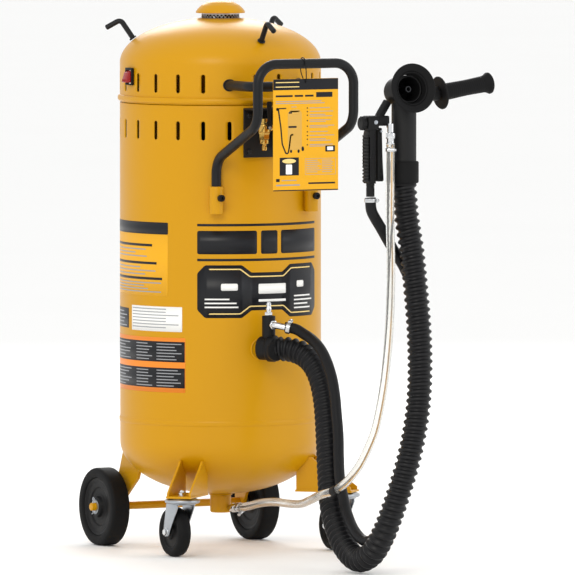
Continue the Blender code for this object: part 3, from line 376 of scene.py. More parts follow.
def radial(azimuth, radius, z):
    """A point at an azimuth, radius and height."""
    angle = math.radians(azimuth)
    return Vector((radius * math.sin(angle), -radius * math.cos(angle), z))


def rounded(corners, radius, steps=5, closed=False):
    """The corners' path with a round bend at each one, no larger than its two sides allow."""
    corners = [Vector((*c, 0.0)) if len(c) == 2 else Vector(c) for c in corners]
    count = len(corners)
    path = [] if closed else [corners[0]]
    for index in range(count) if closed else range(1, count - 1):
        before, corner, after = corners[index - 1], corners[index], corners[(index + 1) % count]
        into, out = (corner - before).normalized(), (after - corner).normalized()
        turn = into.angle(out, 0.0)
        if turn < 0.01 or turn > 3.1:
            path.append(corner)
            continue
        room = 0.48 * min((corner - before).length, (after - corner).length)
        bend = min(radius, room / math.tan(turn / 2))
        start = corner - into * bend * math.tan(turn / 2)
        centre = start + (out - into * into.dot(out)).normalized() * bend
        axis = into.cross(out).normalized()
        for step in range(steps + 1):
            path.append(centre + Matrix.Rotation(turn * step / steps, 3, axis) @ (start - centre))
    if not closed:
        path.append(corners[-1])
    return path


def outline_of(corners, radius, steps=5):
    """A closed outline of (x, y) points with round corners."""
    return [(p.x, p.y) for p in rounded(corners, radius, steps, True)]


def turns(count):
    """Evenly spaced angles round a full turn."""
    return [TURN * number / count for number in range(count)]


def rod_profile(radius, low, high):
    """The profile of a plain solid rod."""
    return [(0, high), (radius, high), (radius, low), (0, low)]


def ring_profile(outer, inner, low, high):
    """The profile of a plain ring."""
    return [(outer, high), (outer, low), (inner, low), (inner, high)]


def both_faces(profile):
    """A wheel's profile from its outer face to its middle, carried on to its other face."""
    return profile + [(r, -z) for r, z in reversed(profile) if z]


def flutes(count, depth, from_r):
    """Round grooves for the fingers along a knob, outside the given radius."""
    return lambda angle, radius, height: (
        -depth * (0.5 + 0.5 * math.cos(angle * count)) if radius > from_r else 0.0)


def add_turned(bm, profile, origin=(0, 0, 0), axis=(0, 0, 1), steps=48, closed=True, wave=None):
    """Adds a turned shape. The (radius, height) profile may start or end on the axis. A closed profile that
    touches the axis nowhere joins its ends. Wave changes the radius by angle and height."""
    matrix = frame_matrix(origin, axis)
    rings = []
    for point in profile:
        radius, height = point[0], point[1]
        if radius < 1e-6:
            rings.append([bm.verts.new(matrix @ Vector((0, 0, height)))] * steps)
            continue
        ring = []
        for angle in turns(steps):
            reach = radius + (wave(angle, radius, height) if wave else 0.0)
            ring.append(bm.verts.new(matrix @ Vector((reach * math.cos(angle), reach * math.sin(angle),
                                                      height))))
        rings.append(ring)
    pairs = list(zip(rings, rings[1:]))
    if closed and profile[0][0] > 1e-6 and profile[-1][0] > 1e-6:
        pairs.append((rings[-1], rings[0]))
    for low, high in pairs:
        for step in range(steps):
            after = (step + 1) % steps
            corners = [low[step], low[after], high[after], high[step]]
            corners = [c for i, c in enumerate(corners) if c is not corners[i - 1]]
            if len(corners) > 2:
                bm.faces.new(corners)


def add_turned_round(bm, corners, radius, origin=(0, 0, 0), axis=(0, 0, 1), steps=48, wave=None):
    """A turned shape whose profile's corners are rounded."""
    on_axis = corners[0][0] < 1e-6 and corners[-1][0] < 1e-6
    profile = [(max(0.0, p.x), p.y) for p in rounded(corners, radius, 3, not on_axis)]
    add_turned(bm, profile, origin, axis, steps, not on_axis, wave)


def add_sweep(bm, points, radius, sides=20, caps=True, cyclic=False):
    """Adds a tube along points. Radius is a number, or a function of the distance along it and the angle."""
    points = [Vector(p) for p in points]
    count = len(points)
    way = (points[1] - points[0]).normalized()
    side = way.orthogonal().normalized()
    rings = []
    travelled = 0.0
    for index, point in enumerate(points):
        before = points[index - 1] if index or cyclic else points[0]
        after = points[(index + 1) % count] if index < count - 1 or cyclic else points[-1]
        onward = (after - before).normalized()
        side = (way.rotation_difference(onward) @ side).normalized()
        way = onward
        if index:
            travelled += (point - points[index - 1]).length
        across = way.cross(side)
        ring = []
        for angle in turns(sides):
            reach = radius(travelled, angle) if callable(radius) else radius
            ring.append(bm.verts.new(point + side * reach * math.cos(angle) + across * reach * math.sin(angle)))
        rings.append(ring)
    pairs = list(zip(rings, rings[1:])) + ([(rings[-1], rings[0])] if cyclic else [])
    for low, high in pairs:
        for step in range(sides):
            after = (step + 1) % sides
            bm.faces.new((low[step], low[after], high[after], high[step]))
    if caps and not cyclic:
        bm.faces.new(rings[0][::-1])
        bm.faces.new(rings[-1])


def add_box(bm, low, high, bevel=0.0, matrix=None, segments=3):
    """Adds a box between two corners, its edges rounded by the bevel."""
    low, high = Vector(low), Vector(high)
    shape = Matrix.Translation((low + high) / 2) @ Matrix.Diagonal((*(high - low), 1.0))
    made = bmesh.ops.create_cube(bm, size=1.0, matrix=(matrix or Matrix.Identity(4)) @ shape)
    if bevel:
        edges = {edge for vert in made["verts"] for edge in vert.link_edges}
        bmesh.ops.bevel(bm, geom=list(edges), offset=bevel, segments=segments, affect="EDGES", profile=0.5)


def add_prism(bm, outline, low, high, bevel=0.0, matrix=None):
    """Adds an outline in XY pulled from one height to another, its edges rounded by the bevel."""
    matrix = matrix or Matrix.Identity(4)
    face = bm.faces.new([bm.verts.new(matrix @ Vector((p[0], p[1], low))) for p in outline])
    grown = bmesh.ops.extrude_face_region(bm, geom=[face])
    moved = [item for item in grown["geom"] if isinstance(item, bmesh.types.BMVert)]
    bmesh.ops.translate(bm, verts=moved, vec=matrix.to_3x3() @ Vector((0, 0, high - low)))
    if bevel:
        rims = {edge for item in [face, *(f for f in grown["geom"] if isinstance(f, bmesh.types.BMFace))]
                for edge in item.edges}
        bmesh.ops.bevel(bm, geom=list(rims), offset=bevel, segments=2, affect="EDGES", profile=0.5)


def add_bolt(bm, head, axis, across, height, washer=0.0):
    """Adds a hexagon head with a chamfered crown, and a washer under it."""
    crown = across / 2
    add_turned(bm, [(0, height), (crown * 0.86, height), (crown * 1.08, height * 0.8), (crown * 1.15, 0),
                    (0, 0)],
               head, axis, 6)
    if washer:
        add_turned_round(bm, rod_profile(washer, -0.8, 0.8), 0.3, head, axis, 28)


def add_weld(bm, points, width, seed=0, cyclic=False):
    """Adds a weld bead along points, with the ripples that the arc leaves."""
    def reach(distance, angle):
        ripple = 0.5 + 0.5 * math.cos(TURN * distance / (width * 0.55))
        blot = noise.noise(Vector((distance * 0.08, seed * 7.3, angle * 0.2)))
        return width / 2 * (0.82 + 0.16 * ripple + 0.14 * blot)
    add_sweep(bm, points, reach, 8, True, cyclic)


def weld_piece(name, material, body, runs, width, cyclic=False):
    """Makes a piece of weld beads from pairs of a seed and the points of its run."""
    bm = bmesh.new()
    for seed, points in runs:
        add_weld(bm, points, width, seed, cyclic)
    piece(name, bm, material, body)


def smooth_path(route, spacing):
    """Evenly spaced points, in millimetres, on a smooth curve through a route given in metres."""
    points = [Vector(p) / MM for p in route]
    ends = [2 * points[0] - points[1]] + points + [2 * points[-1] - points[-2]]
    fine = []
    for a, b, c, d in zip(ends, ends[1:], ends[2:], ends[3:]):
        for step in range(24):
            t = step / 24
            fine.append(
                0.5 * (2 * b + (c - a) * t + (2 * a - 5 * b + 4 * c - d) * t**2 + (3 * b - a - 3 * c + d) * t**3)
            )
    fine.append(points[-1])
    lengths = [0.0]
    for first, second in zip(fine, fine[1:]):
        lengths.append(lengths[-1] + (second - first).length)
    count = max(2, round(lengths[-1] / spacing))
    result = []
    at = 0
    for number in range(count + 1):
        wanted = lengths[-1] * number / count
        while at < len(fine) - 2 and lengths[at + 1] < wanted:
            at += 1
        result.append(fine[at].lerp(fine[at + 1], (wanted - lengths[at]) / (lengths[at + 1] - lengths[at])))
    return result


def ellipse_arc(radius, rise, base_z, count, low_r=0.0):
    """Points of a dome from its tangent line to its crown, or to a smaller radius."""
    last = math.acos(low_r / radius)
    arc = []
    for step in range(count + 1):
        angle = last * step / count
        arc.append((radius * math.cos(angle), base_z + rise * math.sin(angle)))
    return arc


def add_shell_rows(bm, rows):
    """Adds a round wall through (radius, height) rows, with the shell's columns."""
    rings = [[bm.verts.new(radial(360 * c / COLUMNS, r, z)) for c in range(COLUMNS)] for r, z in rows]
    for low, high in zip(rings, rings[1:]):
        for column in range(COLUMNS):
            after = (column + 1) % COLUMNS
            bm.faces.new((low[column], low[after], high[after], high[column]))


def add_slot_band(bm, radius, low_z, high_z, slot_z, blank, slot_w=8.0, slot_h=38.0):
    """Adds a round wall with a long round-ended slot through the middle of each cell but the blank ones."""
    per_cell = COLUMNS // SLOT_CELLS
    width = 360 / SLOT_CELLS
    end_r = slot_w / 2
    for cell in range(SLOT_CELLS):
        middle = (cell + 0.5) * width
        outer, inner = [], []
        for side in range(4):
            for step in range(per_cell):
                t = step / per_cell
                edge = [(-0.5 + t, 1), (0.5, 1 - t), (0.5 - t, 0), (-0.5, t)][side]
                outer.append((middle + edge[0] * width, low_z + edge[1] * (high_z - low_z)))
                turn = math.radians((180 - 180 * t) if side == 0 else -180 * t)
                straight = slot_h / 2 - end_r
                spot = [
                    (end_r * math.cos(turn), straight + end_r * math.sin(turn)),
                    (end_r, straight * (1 - 2 * t)),
                    (end_r * math.cos(turn), -straight + end_r * math.sin(turn)),
                    (-end_r, straight * (2 * t - 1)),
                ][side]
                inner.append((middle + math.degrees(spot[0] / radius), slot_z + spot[1]))
        if cell in blank:
            grid = [[bm.verts.new(radial(middle + (i / per_cell - 0.5) * width, radius,
                                         low_z + (high_z - low_z) * j / per_cell))
                     for i in range(per_cell + 1)] for j in range(per_cell + 1)]
            for j in range(per_cell):
                for i in range(per_cell):
                    bm.faces.new((grid[j][i], grid[j][i + 1], grid[j + 1][i + 1], grid[j + 1][i]))
            continue
        loops = []
        for share in (0.0, 0.4, 0.75, 1.0):
            loops.append([
                bm.verts.new(radial(o[0] + (i[0] - o[0]) * share, radius, o[1] + (i[1] - o[1]) * share))
                for o, i in zip(outer, inner)
            ])
        for far, near in zip(loops, loops[1:]):
            for index in range(len(far)):
                after = (index + 1) % len(far)
                bm.faces.new((far[index], far[after], near[after], near[index]))


def shell_piece(name, bm, body, stands_for):
    """Merges a round wall's rows and gives it the sheet's thickness inwards."""
    bmesh.ops.remove_doubles(bm, verts=bm.verts[:], dist=0.02)
    made = piece(name, bm, "coat", body, stands_for, 30)
    sheet = made.modifiers.new("sheet", "SOLIDIFY")
    sheet.thickness = WALL * MM
    sheet.offset = -1.0
    return made


def add_wrapped(bm, outline, radius, step=7.0):
    """Adds a flat outline of (arc, height) points, wrapped on the tank. Arc 0 is the front, plus is to +X."""
    flat = bmesh.new()
    flat.faces.new([flat.verts.new((x, y, 0)) for x, y in outline])
    low = min(x for x, _ in outline)
    high = max(x for x, _ in outline)
    cut = low + step
    while cut < high - 1e-3:
        geometry = flat.verts[:] + flat.edges[:] + flat.faces[:]
        bmesh.ops.bisect_plane(flat, geom=geometry, plane_co=(cut, 0, 0), plane_no=(1, 0, 0), dist=1e-5)
        cut += step
    spots = {v: bm.verts.new(radial(math.degrees(v.co.x / radius), radius, v.co.y)) for v in flat.verts}
    for face in flat.faces:
        bm.faces.new([spots[v] for v in face.verts])
    flat.free()


def rectangle(x0, y0, x1, y1, radius=0.0):
    """A rectangle's outline, with round corners."""
    corners = [(x0, y0), (x1, y0), (x1, y1), (x0, y1)]
    return outline_of(corners, radius, 4) if radius else corners


def print_lines(x0, x1, top, pitch, count, thickness, seed):
    """Bars of uneven length that stand for lines of small print."""
    bars = []
    for number in range(count):
        share = 0.68 + 0.3 * (0.5 + 0.5 * math.sin(seed * 2.7 + number * 2.1))
        y = top - number * pitch
        bars.append(rectangle(x0, y - thickness, x0 + (x1 - x0) * share, y))
    return bars


def wrapped_film(name, outlines, material, layer, thickness=0.12):
    """A printed film on the tank. Each layer lies a little further out than the last."""
    bm = bmesh.new()
    for outline in outlines:
        add_wrapped(bm, outline, TANK_R + 0.1 + layer * 0.14)
    made = piece(name, bm, material, "tank")
    film = made.modifiers.new("film", "SOLIDIFY")
    film.thickness = thickness * MM
    film.offset = 1.0
    return made


# Stage and hoses --------------------------------------------------------------------------------------------


def area_light(name, place, side, power, tint):
    """Adds a square soft light that faces the machine. The place and side are metres, the power watts."""
    light = bpy.data.lights.new(name, "AREA")
    light.shape = "RECTANGLE"
    light.size = light.size_y = side
    light.energy = power
    light.color = linear(tint)
    made = bpy.data.objects.new(name, light)
    made.location = place
    made.rotation_euler = (Vector(LIGHT_AIM) - Vector(place)).to_track_quat("-Z", "Y").to_euler()
    bpy.context.scene.collection.objects.link(made)


class BLASTVAC_OT_stage(bpy.types.Operator):
    """Make the camera, the pale floor, the studio lights and the finishes"""

    bl_idname = "blastvac.stage"
    bl_label = "Stage and Finishes"

    def execute(self, context):
        scene = context.scene
        camera = bpy.data.objects.new("camera", bpy.data.cameras.new("camera"))
        camera.location = CAMERA_PLACE
        camera.rotation_euler = (CAMERA_AIM - camera.location).to_track_quat("-Z", "Y").to_euler()
        camera.data.lens = CAMERA_LENS
        camera.data.sensor_width = 36.0
        camera.data.clip_end = 200.0
        scene.collection.objects.link(camera)
        scene.camera = camera
        scene.view_settings.view_transform = "Standard"
        MATERIALS.update(make_materials(scene.blastvac_colours, scene.blastvac_sizes))
        bm = bmesh.new()
        bmesh.ops.create_circle(bm, cap_ends=True, radius=FLOOR_R, segments=64)
        mesh = bpy.data.meshes.new("studio_floor")
        bm.to_mesh(mesh)
        bm.free()
        mesh.materials.append(grained("matt_painted_floor", scene.blastvac_colours.floor, 0.8, grain=8,
                                      depth=0.01, mottle=0.01, patch=900))
        floor = bpy.data.objects.new("studio_floor", mesh)
        scene.collection.objects.link(floor)
        world = bpy.data.worlds.new("studio")
        world.use_nodes = True
        world.node_tree.nodes["Background"].inputs["Color"].default_value = (*linear("#FFFFFF"), 1.0)
        world.node_tree.nodes["Background"].inputs["Strength"].default_value = 1.0
        scene.world = world
        for name, place, side, power, tint in (
            ("key_light", (-4.2, -5.2, 4.2), 2.6, 150, "#FFFBF2"),
            ("fill_light", (4.6, -4.4, 2.2), 3.0, 45, "#F4F8FF"),
            ("rim_light", (2.2, 4.6, 3.4), 2.2, 90, "#FFFFFF"),
        ):
            area_light(name, place, side, power, tint)
        return {"FINISHED"}


class BLASTVAC_OT_hoses(bpy.types.Operator):
    """Build the corrugated suction hose, the blast air hose and the clear media hose"""

    bl_idname = "blastvac.hoses"
    bl_label = "Hoses"

    def execute(self, context):
        sizes = context.scene.blastvac_sizes
        pitch, depth = sizes.rib_pitch / MM, sizes.rib_depth / MM
        crest, rib_share = 25.0, 0.34
        blast_r, media_r, media_bore_r = 10.8, 8.4, 5.9

        def ribs(distance, angle):
            """A spiral of narrow round ribs over a wide flat valley."""
            turn = (distance / pitch - angle / TURN + 0.5) % 1 - 0.5
            share = min(1.0, abs(turn) / rib_share)
            return crest - depth * (1 - math.cos(share * math.pi / 2) ** 0.8)

        points = smooth_path(VACUUM_ROUTE, 1.5)
        bm = bmesh.new()
        add_sweep(bm, points, ribs, 40)
        suction = piece("suction_hose_ribbed", bm, "hose", "tank", ["suction_hose"], 60)

        points = smooth_path(BLAST_ROUTE, 5.0)
        bm = bmesh.new()
        add_sweep(bm, points, blast_r, 28)
        blast = piece("blast_air_hose", bm, "air_hose", "tank", ["blast_hose"], 60)

        points = smooth_path(MEDIA_ROUTE, 5.0)
        bm = bmesh.new()
        add_sweep(bm, points, media_r, 28, caps=False)
        outer_rings = [e for e in bm.edges if e.is_boundary]
        add_sweep(bm, points, media_bore_r, 28, caps=False)
        inner_rings = [e for e in bm.edges if e.is_boundary and e not in set(outer_rings)]
        half = len(outer_rings) // 2
        for outer, inner in ((outer_rings[:half], inner_rings[:half]),
                             (outer_rings[half:], inner_rings[half:])):
            bmesh.ops.bridge_loops(bm, edges=outer + inner)
        media = piece("media_hose_clear", bm, "vinyl", "tank", ["media_hose"], 60)
        return {"FINISHED"}


# Tank and hood ----------------------------------------------------------------------------------------------


class BLASTVAC_OT_tank(bpy.types.Operator):
    """Build the tank shell with its slots, dished bottom, seam and outlet"""

    bl_idname = "blastvac.tank"
    bl_label = "Tank"

    def execute(self, context):
        weld = context.scene.blastvac_sizes.weld_width / MM
        slot_z, band_half = 853.0, 27
        band_low, band_high = slot_z - band_half, slot_z + band_half
        outlet_r = 17.0
        dome = [(r, 2 * TANGENT_Z - z) for r, z in ellipse_arc(TANK_R, DOME_H, TANGENT_Z, 22, outlet_r)]
        lip = [(TANK_R + out, SEAM_Z + up)
               for out, up in ((0, -6), (1.1, -4.2), (1.5, -2.4), (1.5, 2.4), (1.1, 4.2), (0, 6))]
        rows = dome[::-1] + [(TANK_R, z) for z in (232, 246)] + lip
        rows += [(TANK_R, SEAM_Z + 6 + (band_low - SEAM_Z - 6) * i / 14) for i in range(1, 15)]
        bm = bmesh.new()
        add_shell_rows(bm, rows)
        add_slot_band(bm, TANK_R, band_low, band_high, slot_z, ())
        add_shell_rows(bm, [(TANK_R, band_high), (TANK_R, 892), (TANK_R, TANK_TOP_Z - 2),
                            (TANK_R - 0.6, TANK_TOP_Z)])
        shell_piece("tank_shell_fine", bm, "tank", ["tank_shell"])

        bm = bmesh.new()
        add_turned_round(bm, [(21.3, 108), (21.3, 76), (19, 73.2), (13.5, 73.2), (13.5, 108)], 1.2, steps=56)
        piece("outlet_socket_fine", bm, "coat", "tank", ["outlet_socket"])
        ring = [radial(azimuth, 22.2, 109.9) for azimuth in range(0, 360, 6)]
        weld_piece("outlet_weld", "coat", "tank", [(1, ring)], weld * 0.9, True)
        return {"FINISHED"}


class BLASTVAC_OT_hood(bpy.types.Operator):
    """Build the lift-off hood with its bead, slots, vent, hooks, guard bar and switch"""

    bl_idname = "blastvac.hood"
    bl_label = "Hood"

    def execute(self, context):
        weld = context.scene.blastvac_sizes.weld_width / MM
        slot_z, band_half = 947.0, 23
        band_low, band_high = slot_z - band_half, slot_z + band_half
        bead_z, bead_out, bead_half = 913.0, 4.6, 6.4
        rows = [(TANK_R - 0.5, HOOD_LOW.z), (TANK_R, HOOD_LOW.z + 0.8)]
        for step in range(9):
            angle = math.radians(-90 + 180 * step / 8)
            rows.append((TANK_R + bead_out * max(0.0, math.cos(angle)), bead_z + bead_half * math.sin(angle)))
        rows += [(TANK_R, 921.5), (TANK_R, band_low)]
        bm = bmesh.new()
        add_shell_rows(bm, rows)
        add_slot_band(bm, TANK_R, band_low, band_high, slot_z, (1, 22))
        dome = ellipse_arc(TANK_R, HOOD_DOME_H, HOOD_TANGENT_Z, 26, NECK_R)
        add_shell_rows(bm, [(TANK_R, band_high), (TANK_R, 976)] + dome)
        hood = shell_piece("hood_fine", bm, "hood", ["hood"])
        cutter = bmesh.new()
        add_box(cutter, (-215, -12, 943), (-190, 12, 973))
        cutter.transform(Matrix.Scale(MM, 4))
        mesh = bpy.data.meshes.new("switch_hole")
        cutter.to_mesh(mesh)
        cutter.free()
        hole = bpy.data.objects.new("switch_hole", mesh)
        context.scene.collection.objects.link(hole)
        opening = hood.modifiers.new("switch_hole", "BOOLEAN")
        opening.operation = "DIFFERENCE"
        opening.object = hole
        context.view_layer.update()
        graph = context.evaluated_depsgraph_get()
        cut_mesh = bpy.data.meshes.new_from_object(hood.evaluated_get(graph))
        hood.modifiers.clear()
        hood.data = cut_mesh
        bpy.data.objects.remove(hole)
        self.build_vent()
        self.build_hooks(weld)
        self.build_guard(weld)
        self.build_switch()
        return {"FINISHED"}

    def build_vent(self):
        """A woven wire band between two rims, a dark sleeve inside it that paints the shade behind the wire, the
        domed cap and a ring round the neck.
        """
        low_z, top_z = 1068.0, 1083.0
        strands, bends, lean = 30, 4, 24
        bm = bmesh.new()
        for number in range(strands):
            for way in (-1, 1):
                start = 360 * number / strands
                add_sweep(bm, [
                    radial(start + way * lean * t / bends, 37.4 + 0.35 * way * (-1) ** t,
                           low_z + (top_z - low_z) * t / bends)
                    for t in range(bends + 1)
                ], 0.62, 6)
        piece("vent_mesh", bm, "wire", "hood", ["vent_screen"])
        bm = bmesh.new()
        for z in (low_z + 1.2, top_z - 1.0):
            add_turned_round(bm, ring_profile(38.0, 36.0, z - 1.3, z + 1.3), 0.4, steps=64)
        piece("vent_rims", bm, "wire", "hood")
        # Painted shade: a dark sleeve closes the vent behind the wire, standing in for the shade inside.
        bm = bmesh.new()
        add_turned(bm, ring_profile(35.2, 34.6, low_z, top_z), steps=48)
        piece("vent_shade_sleeve", bm, "black_steel", "hood")
        bm = bmesh.new()
        crown = [(0, 1109.0), (14, 1108.4), (27, 1105.0), (38, 1099.0), (46, 1091.4), (49.4, 1086.2),
                 (50, 1084.0), (49.0, 1083.2), (46.5, 1083.4), (35, 1084.4), (0, 1084.4)]
        add_turned_round(bm, crown, 6.0, steps=96)
        piece("vent_cap_fine", bm, "coat", "hood", ["vent_cap"])
        bm = bmesh.new()
        neck_z = HOOD_HIGH.z
        add_turned_round(bm, [(NECK_R + 2.5, neck_z - 3.5), (NECK_R + 2.0, neck_z - 0.6), (NECK_R, neck_z),
                              (NECK_R, neck_z - 3.5)], 0.8, steps=96)
        piece("vent_neck_ring", bm, "coat", "hood")

    def build_hooks(self, weld):
        """Three bent hooks on the dome, each leaning outwards with its tip turned down."""
        lean, foot_r, foot_z, shank = math.radians(34), 176.0, 1031.0, 46
        for number, azimuth in enumerate((0.0, 120.0, -120.0), 1):
            base = radial(azimuth, foot_r, foot_z)
            out = radial(azimuth, 1.0, 0.0)
            rise = out * math.sin(lean) + Vector((0, 0, math.cos(lean)))
            knee = base + rise * shank
            tip = knee + out * 30 + Vector((0, 0, -17))
            end_way = (tip - knee).normalized()
            path = rounded([base + rise * 0.6, knee, tip - end_way * 2], 9.0, 8)
            bm = bmesh.new()
            add_sweep(bm, path, 5.4, 20)
            add_turned(bm, [(0, 2.0), (2.6, 1.8), (4.4, 1.0), (5.4, -0.6), (0, -0.6)], path[-1], end_way, 20)
            piece(f"hose_hook_{number}_fine", bm, "black_coat", "hood", [f"hose_hook_{number}"])
            side = rise.orthogonal().normalized()
            ring = [base + rise * 1.4 + Matrix.Rotation(math.radians(turn), 3, rise) @ side * 6.4
                    for turn in range(0, 360, 18)]
            weld_piece(f"hook_weld_{number}", "black_coat", "hood", [(number, ring)], weld * 0.72, True)

    def build_guard(self, weld):
        """The bumper bar in front of the hood, run back to the hood's wall and welded to it."""
        reach, half, bar_y, z = 10.0, 78.0, -290.0, 945.0
        start_y = -math.sqrt(TANK_R**2 - (half + reach) ** 2)
        corners = [(-half, start_y, z), (-half, bar_y, z), (half, bar_y, z), (half, start_y, z)]
        bm = bmesh.new()
        add_sweep(bm, rounded(corners, 28.0, 12), reach, 32)
        piece("guard_bar_fine", bm, "black_coat", "hood", ["guard_bar"])
        welds = []
        toe = reach + 0.6
        for side in (-1, 1):
            ring = []
            for turn in range(0, 360, 12):
                x = side * half + toe * math.cos(math.radians(turn))
                ring.append((x, -math.sqrt(TANK_R**2 - x**2) - 0.6, z + toe * math.sin(math.radians(turn))))
            welds.append((5 + side, ring))
        weld_piece("guard_welds", "black_coat", "hood", welds, weld * 0.8, True)

    def build_switch(self):
        """The switch's frame of four bars with a screw in each corner, and its tilted rocker."""
        rim_x, wall_x = -209.4, -203.6
        bm = bmesh.new()
        for y0, z0, y1, z1 in ((-14, 941, 14, 943.7), (-14, 971.2, 14, 976), (-14, 943, -10.6, 972),
                               (10.6, 943, 14, 972)):
            add_box(bm, (rim_x, y0, z0), (wall_x, y1, z1), 0.9)
        for z in (948.0, 968.5):
            for y in (-12.3, 12.3):
                add_turned(bm, [(0, 0.9), (1.2, 0.6), (1.5, 0), (0, 0)], (rim_x, y, z), (-1, 0, 0), 16)
        piece("switch_bezel_fine", bm, "plastic", "hood", ["switch_bezel"])
        outline = [(-0.5, 12.0), (-8.0, 8.0), (-9.0, 4.0), (-14.3, -12.0), (0.0, -12.0), (6.0, -9.0),
                   (6.0, 9.0)]
        stand = Matrix.Translation((-206.0, 0, 958.5)) @ Matrix.Rotation(math.radians(90), 4, "X")
        bm = bmesh.new()
        add_prism(bm, outline_of(outline, 1.8, 4), -9.9, 9.9, 0.8, stand)
        piece("switch_rocker_fine", bm, "red", "switch_rocker", ["switch_rocker"])
        bm = bmesh.new()
        for y in (-5.0, 0.0, 5.0):
            add_box(bm, (-220.2, y - 0.7, 949.2), (-216.5, y + 0.7, 952.6), 0.3)
        piece("rocker_grip_lines", bm, "red", "switch_rocker")


# Running gear -----------------------------------------------------------------------------------------------


class BLASTVAC_OT_rear_wheels(bpy.types.Operator):
    """Build the rear wheels, their axle, washers and split pins"""

    bl_idname = "blastvac.rear_wheels"
    bl_label = "Rear Wheels"

    def execute(self, context):
        weld = context.scene.blastvac_sizes.weld_width / MM
        bm = bmesh.new()
        add_turned_round(bm, [(0, 203), (6.5, 203), (8, 201.5), (8, -201.5), (6.5, -203), (0, -203)], 0.5,
                         (0, AXLE_Y, REAR_R), (1, 0, 0), 32)
        piece("rear_axle_fine", bm, "coat", "tank", ["rear_axle"])
        keep_nodes("coat", "axle_leg_left", "axle_leg_right")
        for side, word in SIDES:
            self.build_wheel(side, word)
            runs = []
            for x, y, z, climb in ((136.0, 150, 97, 0), (139.0, 98, 197, 3.6)):
                start = Vector((side * x, y, z))
                runs.append((side, [start + Vector((0, t * 3.0, t * climb)) for t in range(-2, 3)]))
            weld_piece(f"leg_weld_{word}", "coat", "tank", runs, weld * 0.6)
        return {"FINISHED"}

    def build_wheel(self, side, word):
        """A solid tyre on a dished hub, with the axle's washers and its split pin."""
        half = 20.0
        centre, axis = (side * 172.0, AXLE_Y, REAR_R), (side, 0, 0)
        body = f"rear_wheel_{word}"
        tyre = [(58.5, half - 4), (60.5, half - 1.4), (63.0, half - 0.6), (74.0, half - 0.4),
                (76.8, half - 1.6), (78.5, half - 4.2), (REAR_R, half - 7.5), (REAR_R, 0)]
        bm = bmesh.new()
        add_turned(bm, both_faces(tyre), centre, axis, 96)
        piece(f"{body}_tyre", bm, "rubber", body, [body])
        hub = [(8.4, half), (17.0, half), (19.5, half - 1.5), (21.5, half - 8.0), (27.0, half - 10.5),
               (38, half - 11.0), (40.0, half - 8.5), (43.0, half - 8.0), (51.0, half - 8.0),
               (54.0, half - 6.5), (58.3, half - 3.6)]
        bm = bmesh.new()
        add_turned_round(bm, both_faces(hub), 1.0, centre, axis, 80)
        piece(f"{body}_hub", bm, "plastic", body)
        bm = bmesh.new()
        for x, reach in ((192.6, 15.0), (151.0, 14.0)):
            add_turned_round(bm, [(8.2, 0.8), (reach, 0.8), (reach, -0.8), (8.2, -0.8)], 0.3,
                             (side * x, AXLE_Y, REAR_R), axis, 36)
        pin_x = side * 196.5
        add_sweep(bm, rounded([(pin_x, AXLE_Y, REAR_R + 13.0), (pin_x, AXLE_Y, REAR_R - 12.0),
                               (pin_x, AXLE_Y + 6.0, REAR_R - 15.0)], 2.0, 4), 1.2, 10)
        eye = [(pin_x, AXLE_Y + 3.0 * math.cos(t), REAR_R + 15.5 + 3.4 * math.sin(t)) for t in turns(14)]
        add_sweep(bm, eye, 1.1, 8, False, True)
        piece(f"axle_washers_{word}", bm, "zinc", "tank")


